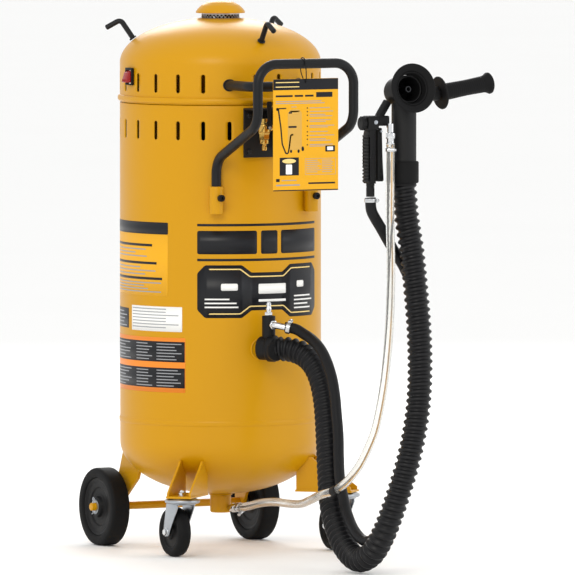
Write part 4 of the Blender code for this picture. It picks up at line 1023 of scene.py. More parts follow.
class BLASTVAC_OT_casters(bpy.types.Operator):
    """Build the swivel casters and finish their brackets"""

    bl_idname = "blastvac.casters"
    bl_label = "Casters"

    def execute(self, context):
        keep_nodes("coat", "caster_bracket_left", "caster_bracket_right")
        for side, word in SIDES:
            self.build_fork(Vector((side * CASTER_XY, -CASTER_XY, 0)), word)
            self.build_wheel(Vector((side * CASTER_XY, -CASTER_XY + CASTER_TRAIL, CASTER_R)), word)
        return {"FINISHED"}

    def build_fork(self, stud, word):
        """The pressed fork under its ball race, with the kingpin, its nut and the wheel's bolts."""
        top = PLATE_Z
        body = f"caster_{word}"
        foot = (stud.x, stud.y, 0)
        bm = bmesh.new()
        add_turned_round(bm, [(0, top - 1.0), (28.5, top - 1.0), (35.2, top - 3.8), (35.2, top - 8.6),
                              (31.0, top - 10.8), (0, top - 10.8)], 1.6, foot, steps=64)
        wheel_y = stud.y + CASTER_TRAIL
        outline = [(stud.y - 22, top - 10), (stud.y + 31, top - 10), (wheel_y + 12, CASTER_R + 3),
                   (wheel_y + 9, CASTER_R - 8.5), (wheel_y - 9, CASTER_R - 8.5), (wheel_y - 15, CASTER_R + 3)]
        for sign in (-1, 1):
            low, high = sorted((stud.x + sign * 17.6, stud.x + sign * 20.0))
            add_prism(bm, outline_of(outline, 7.0), low, high, 0.5, UPRIGHT_X)
        add_box(bm, (stud.x - 19.8, stud.y - 21, top - 13.5), (stud.x + 19.8, stud.y + 29, top - 9.5), 1.4)
        piece(f"{body}_fork_fine", bm, "zinc", body, [f"caster_fork_{word}"])
        bm = bmesh.new()
        add_turned(bm, rod_profile(5.9, top - 1.0, top + 12.0), foot, steps=24)
        add_bolt(bm, (stud.x, stud.y, top + 5.4), (0, 0, 1), 17.0, 6.2)
        add_turned(bm, [(0, 17.0), (3.4, 16.2), (6.2, 13.6), (7.2, 11.4), (0, 11.4)], (stud.x, stud.y, top),
                   steps=24)
        for sign in (-1, 1):
            add_bolt(bm, (stud.x + sign * 20.6, wheel_y, CASTER_R), (sign, 0, 0), 13.0, 5.0, 8.6)
        piece(f"{body}_bolts", bm, "chrome", body)

    def build_wheel(self, centre, word):
        """A rounded tyre on a flat hub."""
        half, axis = 15.0, (1, 0, 0)
        body = f"caster_wheel_{word}"
        tyre = [(33.0, half - 3.5), (36.0, half - 1.8), (43.0, half - 1.2), (47.2, half - 3.6),
                (49.2, half - 7.4), (CASTER_R, 3.5)]
        bm = bmesh.new()
        add_turned(bm, both_faces(tyre), centre, axis, 80)
        piece(f"{body}_tyre", bm, "rubber", body, [body])
        hub = [(4.8, half), (12.5, half), (14.4, half - 1.6), (15.0, half - 5.0), (30.0, half - 6.4),
               (31.6, half - 3.4), (32.8, half - 2.8)]
        bm = bmesh.new()
        add_turned_round(bm, both_faces(hub), 0.9, centre, axis, 64)
        piece(f"{body}_hub", bm, "plastic", body)


# Handle and air controls ------------------------------------------------------------------------------------


class BLASTVAC_OT_handle(bpy.types.Operator):
    """Build the push handle, its sockets, screws and welds"""

    bl_idname = "blastvac.handle"
    bl_label = "Push Handle"

    def execute(self, context):
        weld = context.scene.blastvac_sizes.weld_width / MM
        low_z, top_z, screw_z = 688.0, 743.0, 720.0
        corners = [(-HANDLE_X, HANDLE_Y, low_z + 8), (-HANDLE_X, HANDLE_Y, 795),
                   (-HANDLE_X, HANDLE_BAR_Y, 872), (-HANDLE_X, HANDLE_BAR_Y, HANDLE_TOP_Z)]
        corners += [(-x, y, z) for x, y, z in reversed(corners)]
        bm = bmesh.new()
        add_sweep(bm, rounded(corners, 42.0, 14), 9.8, 36)
        piece("push_handle_fine", bm, "black_coat", "tank", ["push_handle"])
        for side, word in SIDES:
            x = side * HANDLE_X
            bm = bmesh.new()
            add_turned_round(bm, [(13.9, top_z), (13.9, low_z), (4, low_z), (4, low_z + 5), (10.2, low_z + 6),
                                  (10.2, top_z)], 0.8, (x, HANDLE_Y, 0), steps=48)
            piece(f"handle_socket_{word}_fine", bm, "coat", "tank", [f"handle_socket_{word}"])
            runs = []
            for offset in (-1, 1):
                edge_x = x + offset * 8.5
                wall_y = -math.sqrt(TANK_R**2 - edge_x**2) - 0.6
                if abs(wall_y - HANDLE_Y) < 14:
                    run = [(edge_x + offset * 1.5, wall_y, z) for z in range(int(low_z) + 3, int(top_z) - 2,
                                                                             2)]
                    runs.append((side * offset, run))
            weld_piece(f"socket_weld_{word}", "coat", "tank", runs, weld)
            bm = bmesh.new()
            front = HANDLE_Y - 14
            add_turned(bm, [(0, 7.6), (2.6, 7.6), (3.0, 10.6), (6.2, 10.6), (7.0, 9.6), (7.0, 2.6), (0, 2.6)],
                       (x, front - 1.0, screw_z), (0, -1, 0), 36)
            add_turned(bm, rod_profile(3.8, -2, 3.4), (x, front, screw_z), (0, -1, 0), 24)
            piece(f"socket_screw_{word}_fine", bm, "black_steel", "tank", [f"socket_screw_{word}"])
        return {"FINISHED"}


class BLASTVAC_OT_controls(bpy.types.Operator):
    """Build the air controls behind the handle: bracket, valve, regulator, bowl and gauge"""

    bl_idname = "blastvac.controls"
    bl_label = "Air Controls"

    def execute(self, context):
        bm = bmesh.new()
        add_box(bm, (-57.8, -211.4, 800.2), (57.8, -207.6, 899.8), 1.2)
        add_box(bm, (-57.8, -261.8, 896.2), (57.8, -207.6, 899.8), 1.2)
        for x in (-46, 46):
            for z in (812, 884):
                add_bolt(bm, (x, -211.4, z), (0, -1, 0), 9.0, 4.2, 6.4)
        piece("control_bracket_fine", bm, "black_coat", "tank", ["control_bracket"])
        self.build_regulator()
        self.build_gauge()
        self.build_valve()
        return {"FINISHED"}

    def build_regulator(self):
        """The regulator's body, the clear bowl with its filter and ring, and the fluted knob."""
        x, y = REGULATOR_X, CONTROL_Y
        bm = bmesh.new()
        add_turned_round(bm, [(0, 895.4), (16.6, 895.4), (18.8, 892.8), (18.8, 868), (23.8, 866),
                              (23.8, 851.2), (0, 851.2)], 1.4, (x, y, 0), steps=56)
        add_box(bm, (x - 20, y - 20, 869), (x + 20, y + 20, 884), 3.0)
        add_bolt(bm, (x - 20, y, 862), (-1, 0, 0), 17.0, 12.0)
        piece("regulator_body_fine", bm, "cast", "tank", ["regulator_body"])
        bm = bmesh.new()
        add_turned_round(bm, [(22.8, 850.4), (20.8, 818), (13, 808.4), (0, 806.4), (0, 809), (12, 811),
                              (18.8, 820), (20.4, 850.4)], 2.0, (x, y, 0), steps=48)
        piece("filter_bowl_fine", bm, "polycarbonate", "tank", ["filter_bowl"])
        bm = bmesh.new()
        add_turned_round(bm, [(0, 848), (9.5, 848), (9.5, 824), (5, 819), (0, 819)], 1.5, (x, y, 0), steps=32)
        add_turned_round(bm, ring_profile(23.6, 21.5, 849, 856), 0.5, (x, y, 0), steps=48,
                         wave=lambda angle, radius,
                         height: -0.5 * (math.cos(angle * 24) > 0.4) * (radius > 22))
        piece("bowl_filter_and_ring", bm, "plastic", "tank")
        bm = bmesh.new()
        add_turned_round(bm, [(0, 929.6), (12.6, 929.6), (15.2, 926.6), (15.2, 902.4), (0, 902.4)], 1.4,
                         (x, y, 0), steps=120, wave=flutes(20, 0.8, 14))
        piece("regulator_knob_fine", bm, "plastic", "regulator_knob", ["regulator_knob"])

    def build_gauge(self):
        """The gauge's case, its white dial and the marks round it."""
        centre, axis = Vector((REGULATOR_X, CONTROL_Y - 32.5, 880)), (0, -1, 0)
        bm = bmesh.new()
        case = [(0, 7.2), (17.4, 7.2), (17.6, 10.4), (20.2, 10.9), (20.9, 9.4), (20.9, -7.8), (5.5, -7.8),
                (5.5, -12), (0, -12)]
        add_turned_round(bm, case, 0.7, centre, axis, 64)
        piece("pressure_gauge_case", bm, "plastic", "tank", ["pressure_gauge"])
        bm = bmesh.new()
        add_turned(bm, rod_profile(17.2, 7.3, 7.8), centre, axis, 48)
        piece("gauge_dial", bm, "enamel", "tank")
        bm = bmesh.new()
        marks, long_every = 28, 3
        for mark in range(marks):
            turn = math.radians(225 - 270 * mark / (marks - 1))
            spin = frame_matrix(centre, axis) @ Matrix.Rotation(turn, 4, "Z")
            add_box(bm, (12.2 if mark % long_every == 0 else 14.0, -0.25, 7.8), (16.0, 0.25, 7.95), 0.0, spin)
        piece("gauge_marks", bm, "ink", "tank")
        keep_nodes("red", "gauge_needle")

    def build_valve(self):
        """The ball valve with its lever and nut, and the air plug under it."""
        x, y, stem_z = VALVE_X, CONTROL_Y, 862
        bm = bmesh.new()
        add_turned_round(bm, [(0, 879.8), (11, 879.8), (11, 873), (12.6, 871), (12.6, 851), (11, 848),
                              (11, 838.2), (0, 838.2)], 1.0, (x, y, 0), steps=6)
        add_turned_round(bm, rod_profile(12.8, 852, 869), 2.4, (x, y, 0), steps=40)
        add_turned(bm, rod_profile(7.6, 0, 30.5), (x, y, stem_z), (1, 0, 0), 32)
        add_turned(bm, [(0, 18.8), (3.4, 18.8), (3.4, 10), (6.4, 10), (6.4, 0), (0, 0)], (x, y, stem_z),
                   (0, -1, 0), 24)
        piece("ball_valve_fine", bm, "brass", "tank", ["ball_valve"])
        bm = bmesh.new()
        outline = [(x - 5.6, 858.4), (x + 5.6, 858.4), (x + 5.6, 872), (x + 3.8, 880), (x + 5.6, 914.6),
                   (x - 5.6, 914.6), (x - 3.8, 880), (x - 5.6, 872)]
        add_prism(bm, outline_of(outline, 3.0, 4), -y + 19.8, -y + 22.8, 0.8, UPRIGHT_Y)
        piece("valve_lever_fine", bm, "plastic", "valve_lever", ["valve_lever"])
        bm = bmesh.new()
        add_bolt(bm, (x, y - 22.8, stem_z), (0, -1, 0), 6.5, 2.6)
        piece("valve_lever_nut", bm, "zinc", "valve_lever")
        bm = bmesh.new()
        plug = [(0, 21.8), (4.2, 21.8), (5.6, 20.4), (5.6, 14.0), (4.4, 12.2), (4.4, 8.2), (9.3, 8.0),
                (9.3, 0.2), (0, 0.2)]
        add_turned_round(bm, plug, 0.6, (x, y, 837.6), (0, 0, -1), 36)
        piece("air_inlet_plug_fine", bm, "brass", "tank", ["air_inlet_plug"])


# Fittings ---------------------------------------------------------------------------------------------------


def clamp_piece(name, centre, axis, radius, width, screw_side, stands_for=()):
    """Makes a worm-drive clamp: a band, its screw housing and the screw."""
    bm = bmesh.new()
    add_turned_round(bm, ring_profile(radius + 0.8, radius, -width / 2, width / 2), 0.3, centre, axis, 56)
    way = Vector(axis).normalized()
    side = Vector(screw_side).normalized()
    along = way.cross(side).normalized()
    seat = Vector(centre) + side * (radius + 3.2)
    turn = Matrix((
        (along.x, way.x, side.x, seat.x),
        (along.y, way.y, side.y, seat.y),
        (along.z, way.z, side.z, seat.z),
        (0, 0, 0, 1),
    ))
    add_box(bm, (-6.0, -width * 0.55, -2.8), (6.0, width * 0.55, 1.2), 0.8, turn)
    screw = [(0, 11.0), (3.0, 11.0), (3.4, 8.0), (2.2, 7.6), (2.2, -7.5), (0, -7.5)]
    add_turned_round(bm, screw, 0.4, seat, along, 16)
    piece(name, bm, "stainless", "tank", stands_for)


class BLASTVAC_OT_fittings(bpy.types.Operator):
    """Build the hose inlet, the air coupler and elbow, and the outlet's barb"""

    bl_idname = "blastvac.fittings"
    bl_label = "Hose Fittings"

    def execute(self, context):
        points = smooth_path(VACUUM_ROUTE, 26.0)
        start, way = points[0], (points[0] - points[1]).normalized()
        bm = bmesh.new()
        add_turned_round(bm, [(0, 37.8), (20.8, 37.8), (23.8, 33.8), (23.8, 18), (26.8, 16), (26.8, 0.4),
                              (0, 0.4)],
                         3.0, start, way, 64)
        back = start + way * 22
        stub = 202 + back.y
        add_turned(bm, [(0, 0), (19.8, 0), (19.8, stub), (0, stub)], (INLET_X, back.y, INLET_Z), (0, 1, 0), 48)
        add_turned_round(bm, rod_profile(13.3, 426, 483.8), 1.2, (AIR_X, AIR_Y, 0), steps=48)
        piece("inlet_fitting_fine", bm, "plastic", "tank", ["inlet_fitting"])
        ring = []
        for angle in turns(36):
            x = INLET_X + 21.5 * math.cos(angle)
            ring.append((x, -math.sqrt(TANK_R**2 - x**2) - 0.8, INLET_Z + 21.5 * math.sin(angle)))
        weld_piece("inlet_weld", "coat", "tank", [(3, ring)], 4.5, True)

        coupler = [(0, 511.8), (3.2, 511.8), (5.4, 507), (4.2, 503), (6.0, 498), (4.9, 494), (4.9, 491),
                   (0, 491)]
        bm = bmesh.new()
        add_turned_round(bm, coupler, 0.8, (AIR_X, AIR_Y, 0), steps=36)
        add_turned_round(bm, rod_profile(8.3, 484.5, 491.2), 0.6, (AIR_X, AIR_Y, 0), steps=6)
        piece("air_coupler_fine", bm, "chrome", "tank", ["air_coupler"])

        blast = smooth_path(BLAST_ROUTE, 25.0)
        hose_end, hose_way = blast[0], (blast[0] - blast[1]).normalized()
        inside = hose_end + hose_way * 0.6
        corner = inside - hose_way * ((hose_end.x - AIR_X) / hose_way.x)
        bm = bmesh.new()
        add_sweep(bm, rounded([(AIR_X, AIR_Y - 13.4, corner.z), corner, inside], 5.0, 8), 6.6, 24)
        add_turned_round(bm, rod_profile(9.6, -1.5, 4.5), 0.7, (AIR_X, AIR_Y - 18.0, corner.z), (0, -1, 0), 6)
        piece("blast_elbow_fine", bm, "chrome", "tank", ["blast_elbow"])
        clamp_piece("blast_hose_clamp", hose_end - hose_way * 6, hose_way, 11.2, 8.0, (0.2, -0.3, 1))

        media = smooth_path(MEDIA_ROUTE, 26.0)
        start, way = media[0], (media[0] - media[1]).normalized()
        bm = bmesh.new()
        add_turned_round(bm, [(0, 29.6), (6.7, 29.6), (6.7, 14), (9.3, 13), (9.3, 3), (8.3, 0.5), (0, 0.5)],
                         0.7, start, way, 40)
        piece("outlet_fitting_fine", bm, "chrome", "tank", ["outlet_fitting"])
        clamp_piece("media_hose_clamp", start - way * 9, way, 8.7, 8.0, (0.6, 0, -1))

        points = smooth_path(MEDIA_ROUTE, 5.0)
        at = len(points) * 45 // 100
        bm = bmesh.new()
        way = (points[at + 1] - points[at]).normalized()
        add_turned_round(bm, ring_profile(9.8, 8.6, -9.0, 9.0), 0.4, points[at], way, 40)
        piece("hose_strap", bm, "plastic", "tank")
        return {"FINISHED"}


# Hand tool --------------------------------------------------------------------------------------------------


class BLASTVAC_OT_hand_tool(bpy.types.Operator):
    """Build the suction head with its cup, clamp, nozzle, cuff and side grip"""

    bl_idname = "blastvac.hand_tool"
    bl_label = "Hand Tool"

    def execute(self, context):
        bm = bmesh.new()
        add_turned_round(bm, [(0, -29.6), (16, -28.2), (25, -23), (27.8, -16), (27.8, 36.8), (24.2, 36.8),
                              (24.2, -14), (14, -23.6), (0, -24.6)], 5.0, HEAD, CUP_WAY, 72)
        add_turned(bm, ring_profile(24.5, 22.2, 772, 930), (TOOL_X, TOOL_Y, 0), steps=64)
        neck_end = Vector((96.0, TOOL_Y, 946.0))
        neck_way = (neck_end - Vector((TOOL_X + 10, TOOL_Y, 936))).normalized()
        add_turned_round(bm, [(0, 0), (14.5, 0), (11.8, -22), (11.8, -62), (0, -62)], 3.0,
                         neck_end - neck_way * 1.5, neck_way, 48)
        piece("tool_head_fine", bm, "plastic", "tank", ["tool_head"])

        cup = [(31.3, 38), (31.3, 24.8), (28.6, 24.8), (28.6, 38.5), (30.5, 42), (33, 48), (35, 51),
               (46, 56.8), (48.8, 55.6), (48.8, 52.6), (44, 46), (37, 41)]
        bm = bmesh.new()
        add_turned_round(bm, cup, 2.4, HEAD, CUP_WAY, 96)
        add_turned_round(bm, [(33.2, 50.4), (33.2, 46.0), (30.4, 45.4), (30.4, 48.6)], 1.2, HEAD, CUP_WAY, 72)
        piece("suction_cup_fine", bm, "rubber", "tank", ["suction_cup"])

        clamp_piece("cup_clamp_fine", HEAD + CUP_WAY * 31.5, CUP_WAY, 32.0, 8.0, (0.35, 0, -1), ["cup_clamp"])

        bm = bmesh.new()
        add_turned_round(bm, [(3.9, 33.8), (6.2, 33.8), (7.0, 28), (7.0, -29), (9.3, -31), (9.3, -35.8),
                              (3.9, -35.8)],
                         0.8, HEAD, CUP_WAY, 36)
        piece("blast_nozzle_fine", bm, "carbide", "tank", ["blast_nozzle"])

        bm = bmesh.new()
        add_turned_round(bm, [(27.8, 813.8), (29.3, 811.8), (29.3, 773), (27.4, 770.6), (25.2, 770.6),
                              (25.2, 813.8)],
                         1.2, (TOOL_X, TOOL_Y, 0), steps=72)
        add_turned(bm, ring_profile(24.6, 22.4, 766.0, 771.8), (TOOL_X, TOOL_Y, 0), steps=64)
        piece("hose_cuff_fine", bm, "rubber", "tank", ["hose_cuff"])

        lean = math.radians(9)
        grip_way = Vector((math.cos(lean), 0, math.sin(lean)))

        def knurl(angle, radius, height):
            """Fine rings along the part that the hand holds."""
            rib = 0.5 + 0.5 * math.cos(TURN * height / 4.4)
            return -0.45 * rib * (15.0 < radius < 17.2) * (24 < height < 100)

        stem = [(16.2 + 0.4 * math.cos(TURN * (z - 20) / 84), z) for z in range(98, 20, -1)]
        grip = [(0, 117.6), (12, 117.4), (17.8, 117.2), (21.0, 114.8), (21.3, 111.6), (18.4, 106.8),
                (16.8, 102.0)]
        grip += stem + [(16.6, 12), (18.0, 7.6), (28.0, 5.6), (32.4, 4.6), (32.8, 2.6), (31.6, 0.8), (0, 0.6)]
        bm = bmesh.new()
        add_turned(bm, grip, neck_end, grip_way, 64, wave=knurl)
        piece("side_grip_fine", bm, "rubber", "tank", ["side_grip"])
        return {"FINISHED"}


class BLASTVAC_OT_blast_handle(bpy.types.Operator):
    """Build the blast handle: ribbed grip, squeeze lever, valve block, knob and media fitting"""

    bl_idname = "blastvac.blast_handle"
    bl_label = "Blast Handle"

    def execute(self, context):
        ribs = context.scene.blastvac_sizes.grip_ribs
        back, front = TOOL_Y + 13, TOOL_Y - 13
        low_z, top_z = 771.4, 879.6
        bm = bmesh.new()
        crest_x, valley_x = GUN_X - 10.8, GUN_X - 8.4
        outline = [(GUN_X - 7, low_z)]
        pitch = (top_z - 14 - low_z) / ribs
        for rib in range(ribs):
            z = low_z + 3 + rib * pitch
            outline += [(crest_x, z + pitch * 0.12), (crest_x, z + pitch * 0.6),
                        (valley_x, z + pitch * 0.74), (valley_x, z + pitch * 0.98)]
        outline += [(GUN_X - 6, top_z), (GUN_X + 7.2, top_z), (GUN_X + 7.2, low_z)]
        add_prism(bm, outline_of(outline[::-1], 0.9, 2), -back + 0.3, -front - 0.3, 1.6, UPRIGHT_Y)
        add_box(bm, (GUN_X - 9.8, front - 0.8, 876), (-44.0, back + 0.8, 904.6), 3.0)
        add_box(bm, (-45.0, front + 3.5, 884.4), (-18.4, back - 3.5, 904.2), 3.0)
        add_sweep(bm, [(-44, TOOL_Y, 892), (-30, TOOL_Y + 4, 911), (-15.5, TOOL_Y + 7.5, 930)], 8.6, 28)
        add_turned_round(bm, [(0, 772), (8.3, 772), (8.3, 766), (7.4, 764.6), (8.3, 763.2), (8.3, 745.4),
                              (0, 745.4)],
                         0.6, (GUN_X + 1, TOOL_Y, 0), steps=32)
        piece("blast_grip_fine", bm, "plastic", "tank", ["blast_grip"])
        bm = bmesh.new()
        add_turned_round(bm, rod_profile(2.2, -15.4, 15.4), 0.3, (-40, TOOL_Y, 874), (0, 1, 0), 20)
        add_turned_round(bm, rod_profile(4.2, -1.6, 1.2), 0.5, (-52, front - 0.8, 892), (0, -1, 0), 20)
        piece("lever_pin_and_plug", bm, "zinc", "tank")

        bm = bmesh.new()
        lever = [(-45.3, 880.6), (-45.3, 778), (-43.6, 775.2), (-33.2, 775.2), (-31.2, 778), (-33.6, 820),
                 (-35.2, 880.6)]
        add_prism(bm, outline_of(lever, 2.2, 4), -TOOL_Y - 8.8, -TOOL_Y + 8.8, 1.8, UPRIGHT_Y)
        piece("blast_lever_fine", bm, "plastic", "blast_lever", ["blast_lever"])

        bm = bmesh.new()
        add_turned_round(bm, [(0, 10.8), (11.2, 10.8), (14.2, 8.4), (14.2, 1.6), (12, 0.6), (0, 0.6)], 1.2,
                         (GUN_X - 11.2, TOOL_Y, 890), (-1, 0, 0), 96, flutes(12, 0.9, 13))
        add_box(bm, (GUN_X - 22.0, TOOL_Y - 1.2, 892), (GUN_X - 21.4, TOOL_Y + 1.2, 900), 0.2)
        piece("valve_knob_fine", bm, "plastic", "valve_knob", ["valve_knob"])

        end = Vector(MEDIA_ROUTE[-1]) / MM
        collar = [(0, 41.6), (6.3, 41.6), (6.3, 24), (9.2, 23), (9.2, 12), (7.3, 11), (7.3, 4), (8.8, 3),
                  (8.8, 0.6), (0, 0.6)]
        bm = bmesh.new()
        add_turned_round(bm, collar, 0.7, end, steps=36)
        add_turned_round(bm, rod_profile(10.2, 14, 22.6), 0.8, end, steps=6)
        add_turned(bm, rod_profile(4.8, 0, 8.5), (end.x, end.y, 884), (0, 1, 0), 24)
        piece("media_fitting_fine", bm, "chrome", "tank", ["media_fitting"])
        clamp_piece("media_upper_clamp", (-24.2, -764.2, 838), (0, 0, 1), 8.8, 7.0, (-0.5, -1, 0))
        clamp_piece("grip_hose_clamp", (GUN_X + 1, TOOL_Y, 738), (0, 0, 1), 11.2, 7.5, (0.9, -0.5, 0))
        return {"FINISHED"}


# Printed pieces ---------------------------------------------------------------------------------------------


class BLASTVAC_OT_hang_tag(bpy.types.Operator):
    """Build the printed hang tag and its tie"""

    bl_idname = "blastvac.hang_tag"
    bl_label = "Hang Tag"

    def execute(self, context):
        face_y = (TAG_LOW.y + TAG_HIGH.y) / 2 - 0.35
        left, top = TAG_LOW.x, TAG_HIGH.z
        height = top - TAG_LOW.z
        eye_z = 956.0
        bm = bmesh.new()
        rim = rectangle(TAG_LOW.x + 0.1, TAG_LOW.z + 0.1, TAG_HIGH.x - 0.1, top - 0.1, 1.5)
        add_prism(bm, rim, -face_y - 0.7, -face_y, 0.0, UPRIGHT_Y)
        piece("hang_tag_card", bm, "card", "tag", ["hang_tag"])

        def spot(u, v):
            """A point of the tag's face, as shares of its width and height from the top left."""
            return left + u * TAG_W, top - v * height

        def plates(name, material, shapes, layer):
            made = bmesh.new()
            for shape in shapes:
                add_prism(made, shape, -face_y + 0.02 * layer, -face_y + 0.02 * layer + 0.05, 0.0, UPRIGHT_Y)
            piece(name, made, material, "tag")

        def block(u0, v0, u1, v1, corner=0.0):
            (x0, z1), (x1, z0) = spot(u0, v0), spot(u1, v1)
            return rectangle(x0, z0, x1, z1, corner)

        def disc(u, v, across, rise, steps=24):
            x, z = spot(u, v)
            return [(x + across * math.cos(angle), z + rise * math.sin(angle)) for angle in turns(steps)]

        def stroke(route, width):
            """A band along a route of shares, as wide as given in millimetres."""
            points = [Vector((*spot(u, v), 0)) for u, v in route]
            points = rounded(points, 14, 4)
            sides = ([], [])
            for index, point in enumerate(points):
                way = (points[min(index + 1, len(points) - 1)] - points[max(index - 1, 0)]).normalized()
                across = Vector((-way.y, way.x, 0)) * width / 2
                sides[0].append(((point + across).x, (point + across).y))
                sides[1].append(((point - across).x, (point - across).y))
            return sides[0] + sides[1][::-1]

        dark = [block(0.002, 0.002, 0.998, 0.1), block(0.002, 0.988, 0.998, 0.998),
                block(0.66, 0.123, 0.91, 0.168),
                block(0.80, 0.60, 0.95, 0.655, 1.5), block(0.1, 0.70, 0.395, 0.86),
                block(0.045, 0.888, 0.1, 0.915), block(0.54, 0.925, 0.95, 0.94)]
        dark += [disc(0.525, v, 1.5, 1.5, 10) for v in
                 (0.263, 0.295, 0.328, 0.375, 0.425, 0.475, 0.508, 0.541, 0.59)]
        dark += [block(0.04, 0.145, 0.30, 0.162), block(0.33, 0.145, 0.46, 0.162),
                 block(0.49, 0.145, 0.62, 0.162)]
        dark += [stroke([(0.05, 0.265), (0.20, 0.262)], 2.4), disc(0.066, 0.27, 3.0, 3.2, 16),
                 stroke([(0.08, 0.27), (0.12, 0.44), (0.14, 0.58), (0.22, 0.70), (0.25, 0.60), (0.27, 0.50),
                         (0.31, 0.497)], 3.2), disc(0.455, 0.625, 3.0, 5.0, 16),
                         disc(0.39, 0.645, 2.6, 3.6, 16),
                 disc(0.275, 0.645, 2.6, 3.2, 16)]
        plates("tag_ink", "ink", dark, 1)
        lines = [block(0.04, 0.198 + 0.017 * n, 0.74 + 0.05 * n, 0.205 + 0.017 * n) for n in range(2)]
        for number, v in enumerate((0.259, 0.291, 0.319, 0.333, 0.367, 0.381, 0.417, 0.431, 0.471, 0.504,
                                    0.536, 0.55, 0.586, 0.6)):
            lines.append(block(0.56, v, 0.80 + 0.14 * (0.5 + 0.5 * math.sin(number * 2.3)), v + 0.006))
        lines += [block(0.49, 0.712, 0.96, 0.715), block(0.49, 0.855, 0.96, 0.858),
                  block(0.49, 0.712, 0.494, 0.858), block(0.956, 0.712, 0.96, 0.858)]
        for row in range(7):
            v = 0.728 + 0.017 * row
            lines.append(block(0.51, v, 0.68 + 0.03 * (row % 3), 0.733 + 0.017 * row))
            lines.append(block(0.75, v, 0.9 + 0.02 * (row % 2), 0.733 + 0.017 * row))
        lines += [block(0.13, 0.9, 0.36, 0.907), block(0.045, 0.94, 0.41, 0.952),
                  block(0.28, 0.248, 0.36, 0.254)]
        plates("tag_small_print", "grey", lines, 1)
        plates("tag_tank_picture", "tan", [block(0.225, 0.285, 0.44, 0.635, 6.0),
                                           disc(0.333, 0.285, 12, 3.0)], 1)
        plates("tag_picture_lines", "ink",
               [block(0.235, 0.42, 0.36, 0.437, 0.4), block(0.24, 0.295, 0.29, 0.31, 0.5)], 3)
        plates("tag_picture_spot", "cream", [disc(0.245, 0.732, 15.5, 4.6)], 4)
        plates("tag_picture_drum", "white",
               [block(0.195, 0.762, 0.29, 0.85, 1.5), block(0.83, 0.61, 0.92, 0.642, 1.0)], 4)
        plates("tag_header_mark", "cream", [block(0.04, 0.028, 0.40, 0.036), block(0.04, 0.068, 0.40, 0.076)],
               4)

        bm = bmesh.new()
        bar = Vector((TAG_X, HANDLE_BAR_Y, HANDLE_TOP_Z))
        loop = [bar + Vector((0, 12.2 * math.cos(math.radians(a)), 12.2 * math.sin(math.radians(a))))
                for a in range(150, -31, -15)]
        loop += [(TAG_X, HANDLE_BAR_Y + 7.0, 975), (TAG_X, HANDLE_BAR_Y - 4.0, 960),
                 (TAG_X, face_y + 2.6, eye_z),
                 (TAG_X, face_y - 1.8, eye_z), (TAG_X, face_y - 2.6, 962), (TAG_X, face_y - 2.0, 978)]
        add_sweep(bm, rounded(loop, 3.0, 3, True), 1.05, 10, False, True)
        piece("tag_tie_fine", bm, "plastic", "tag", ["tag_tie"])
        return {"FINISHED"}


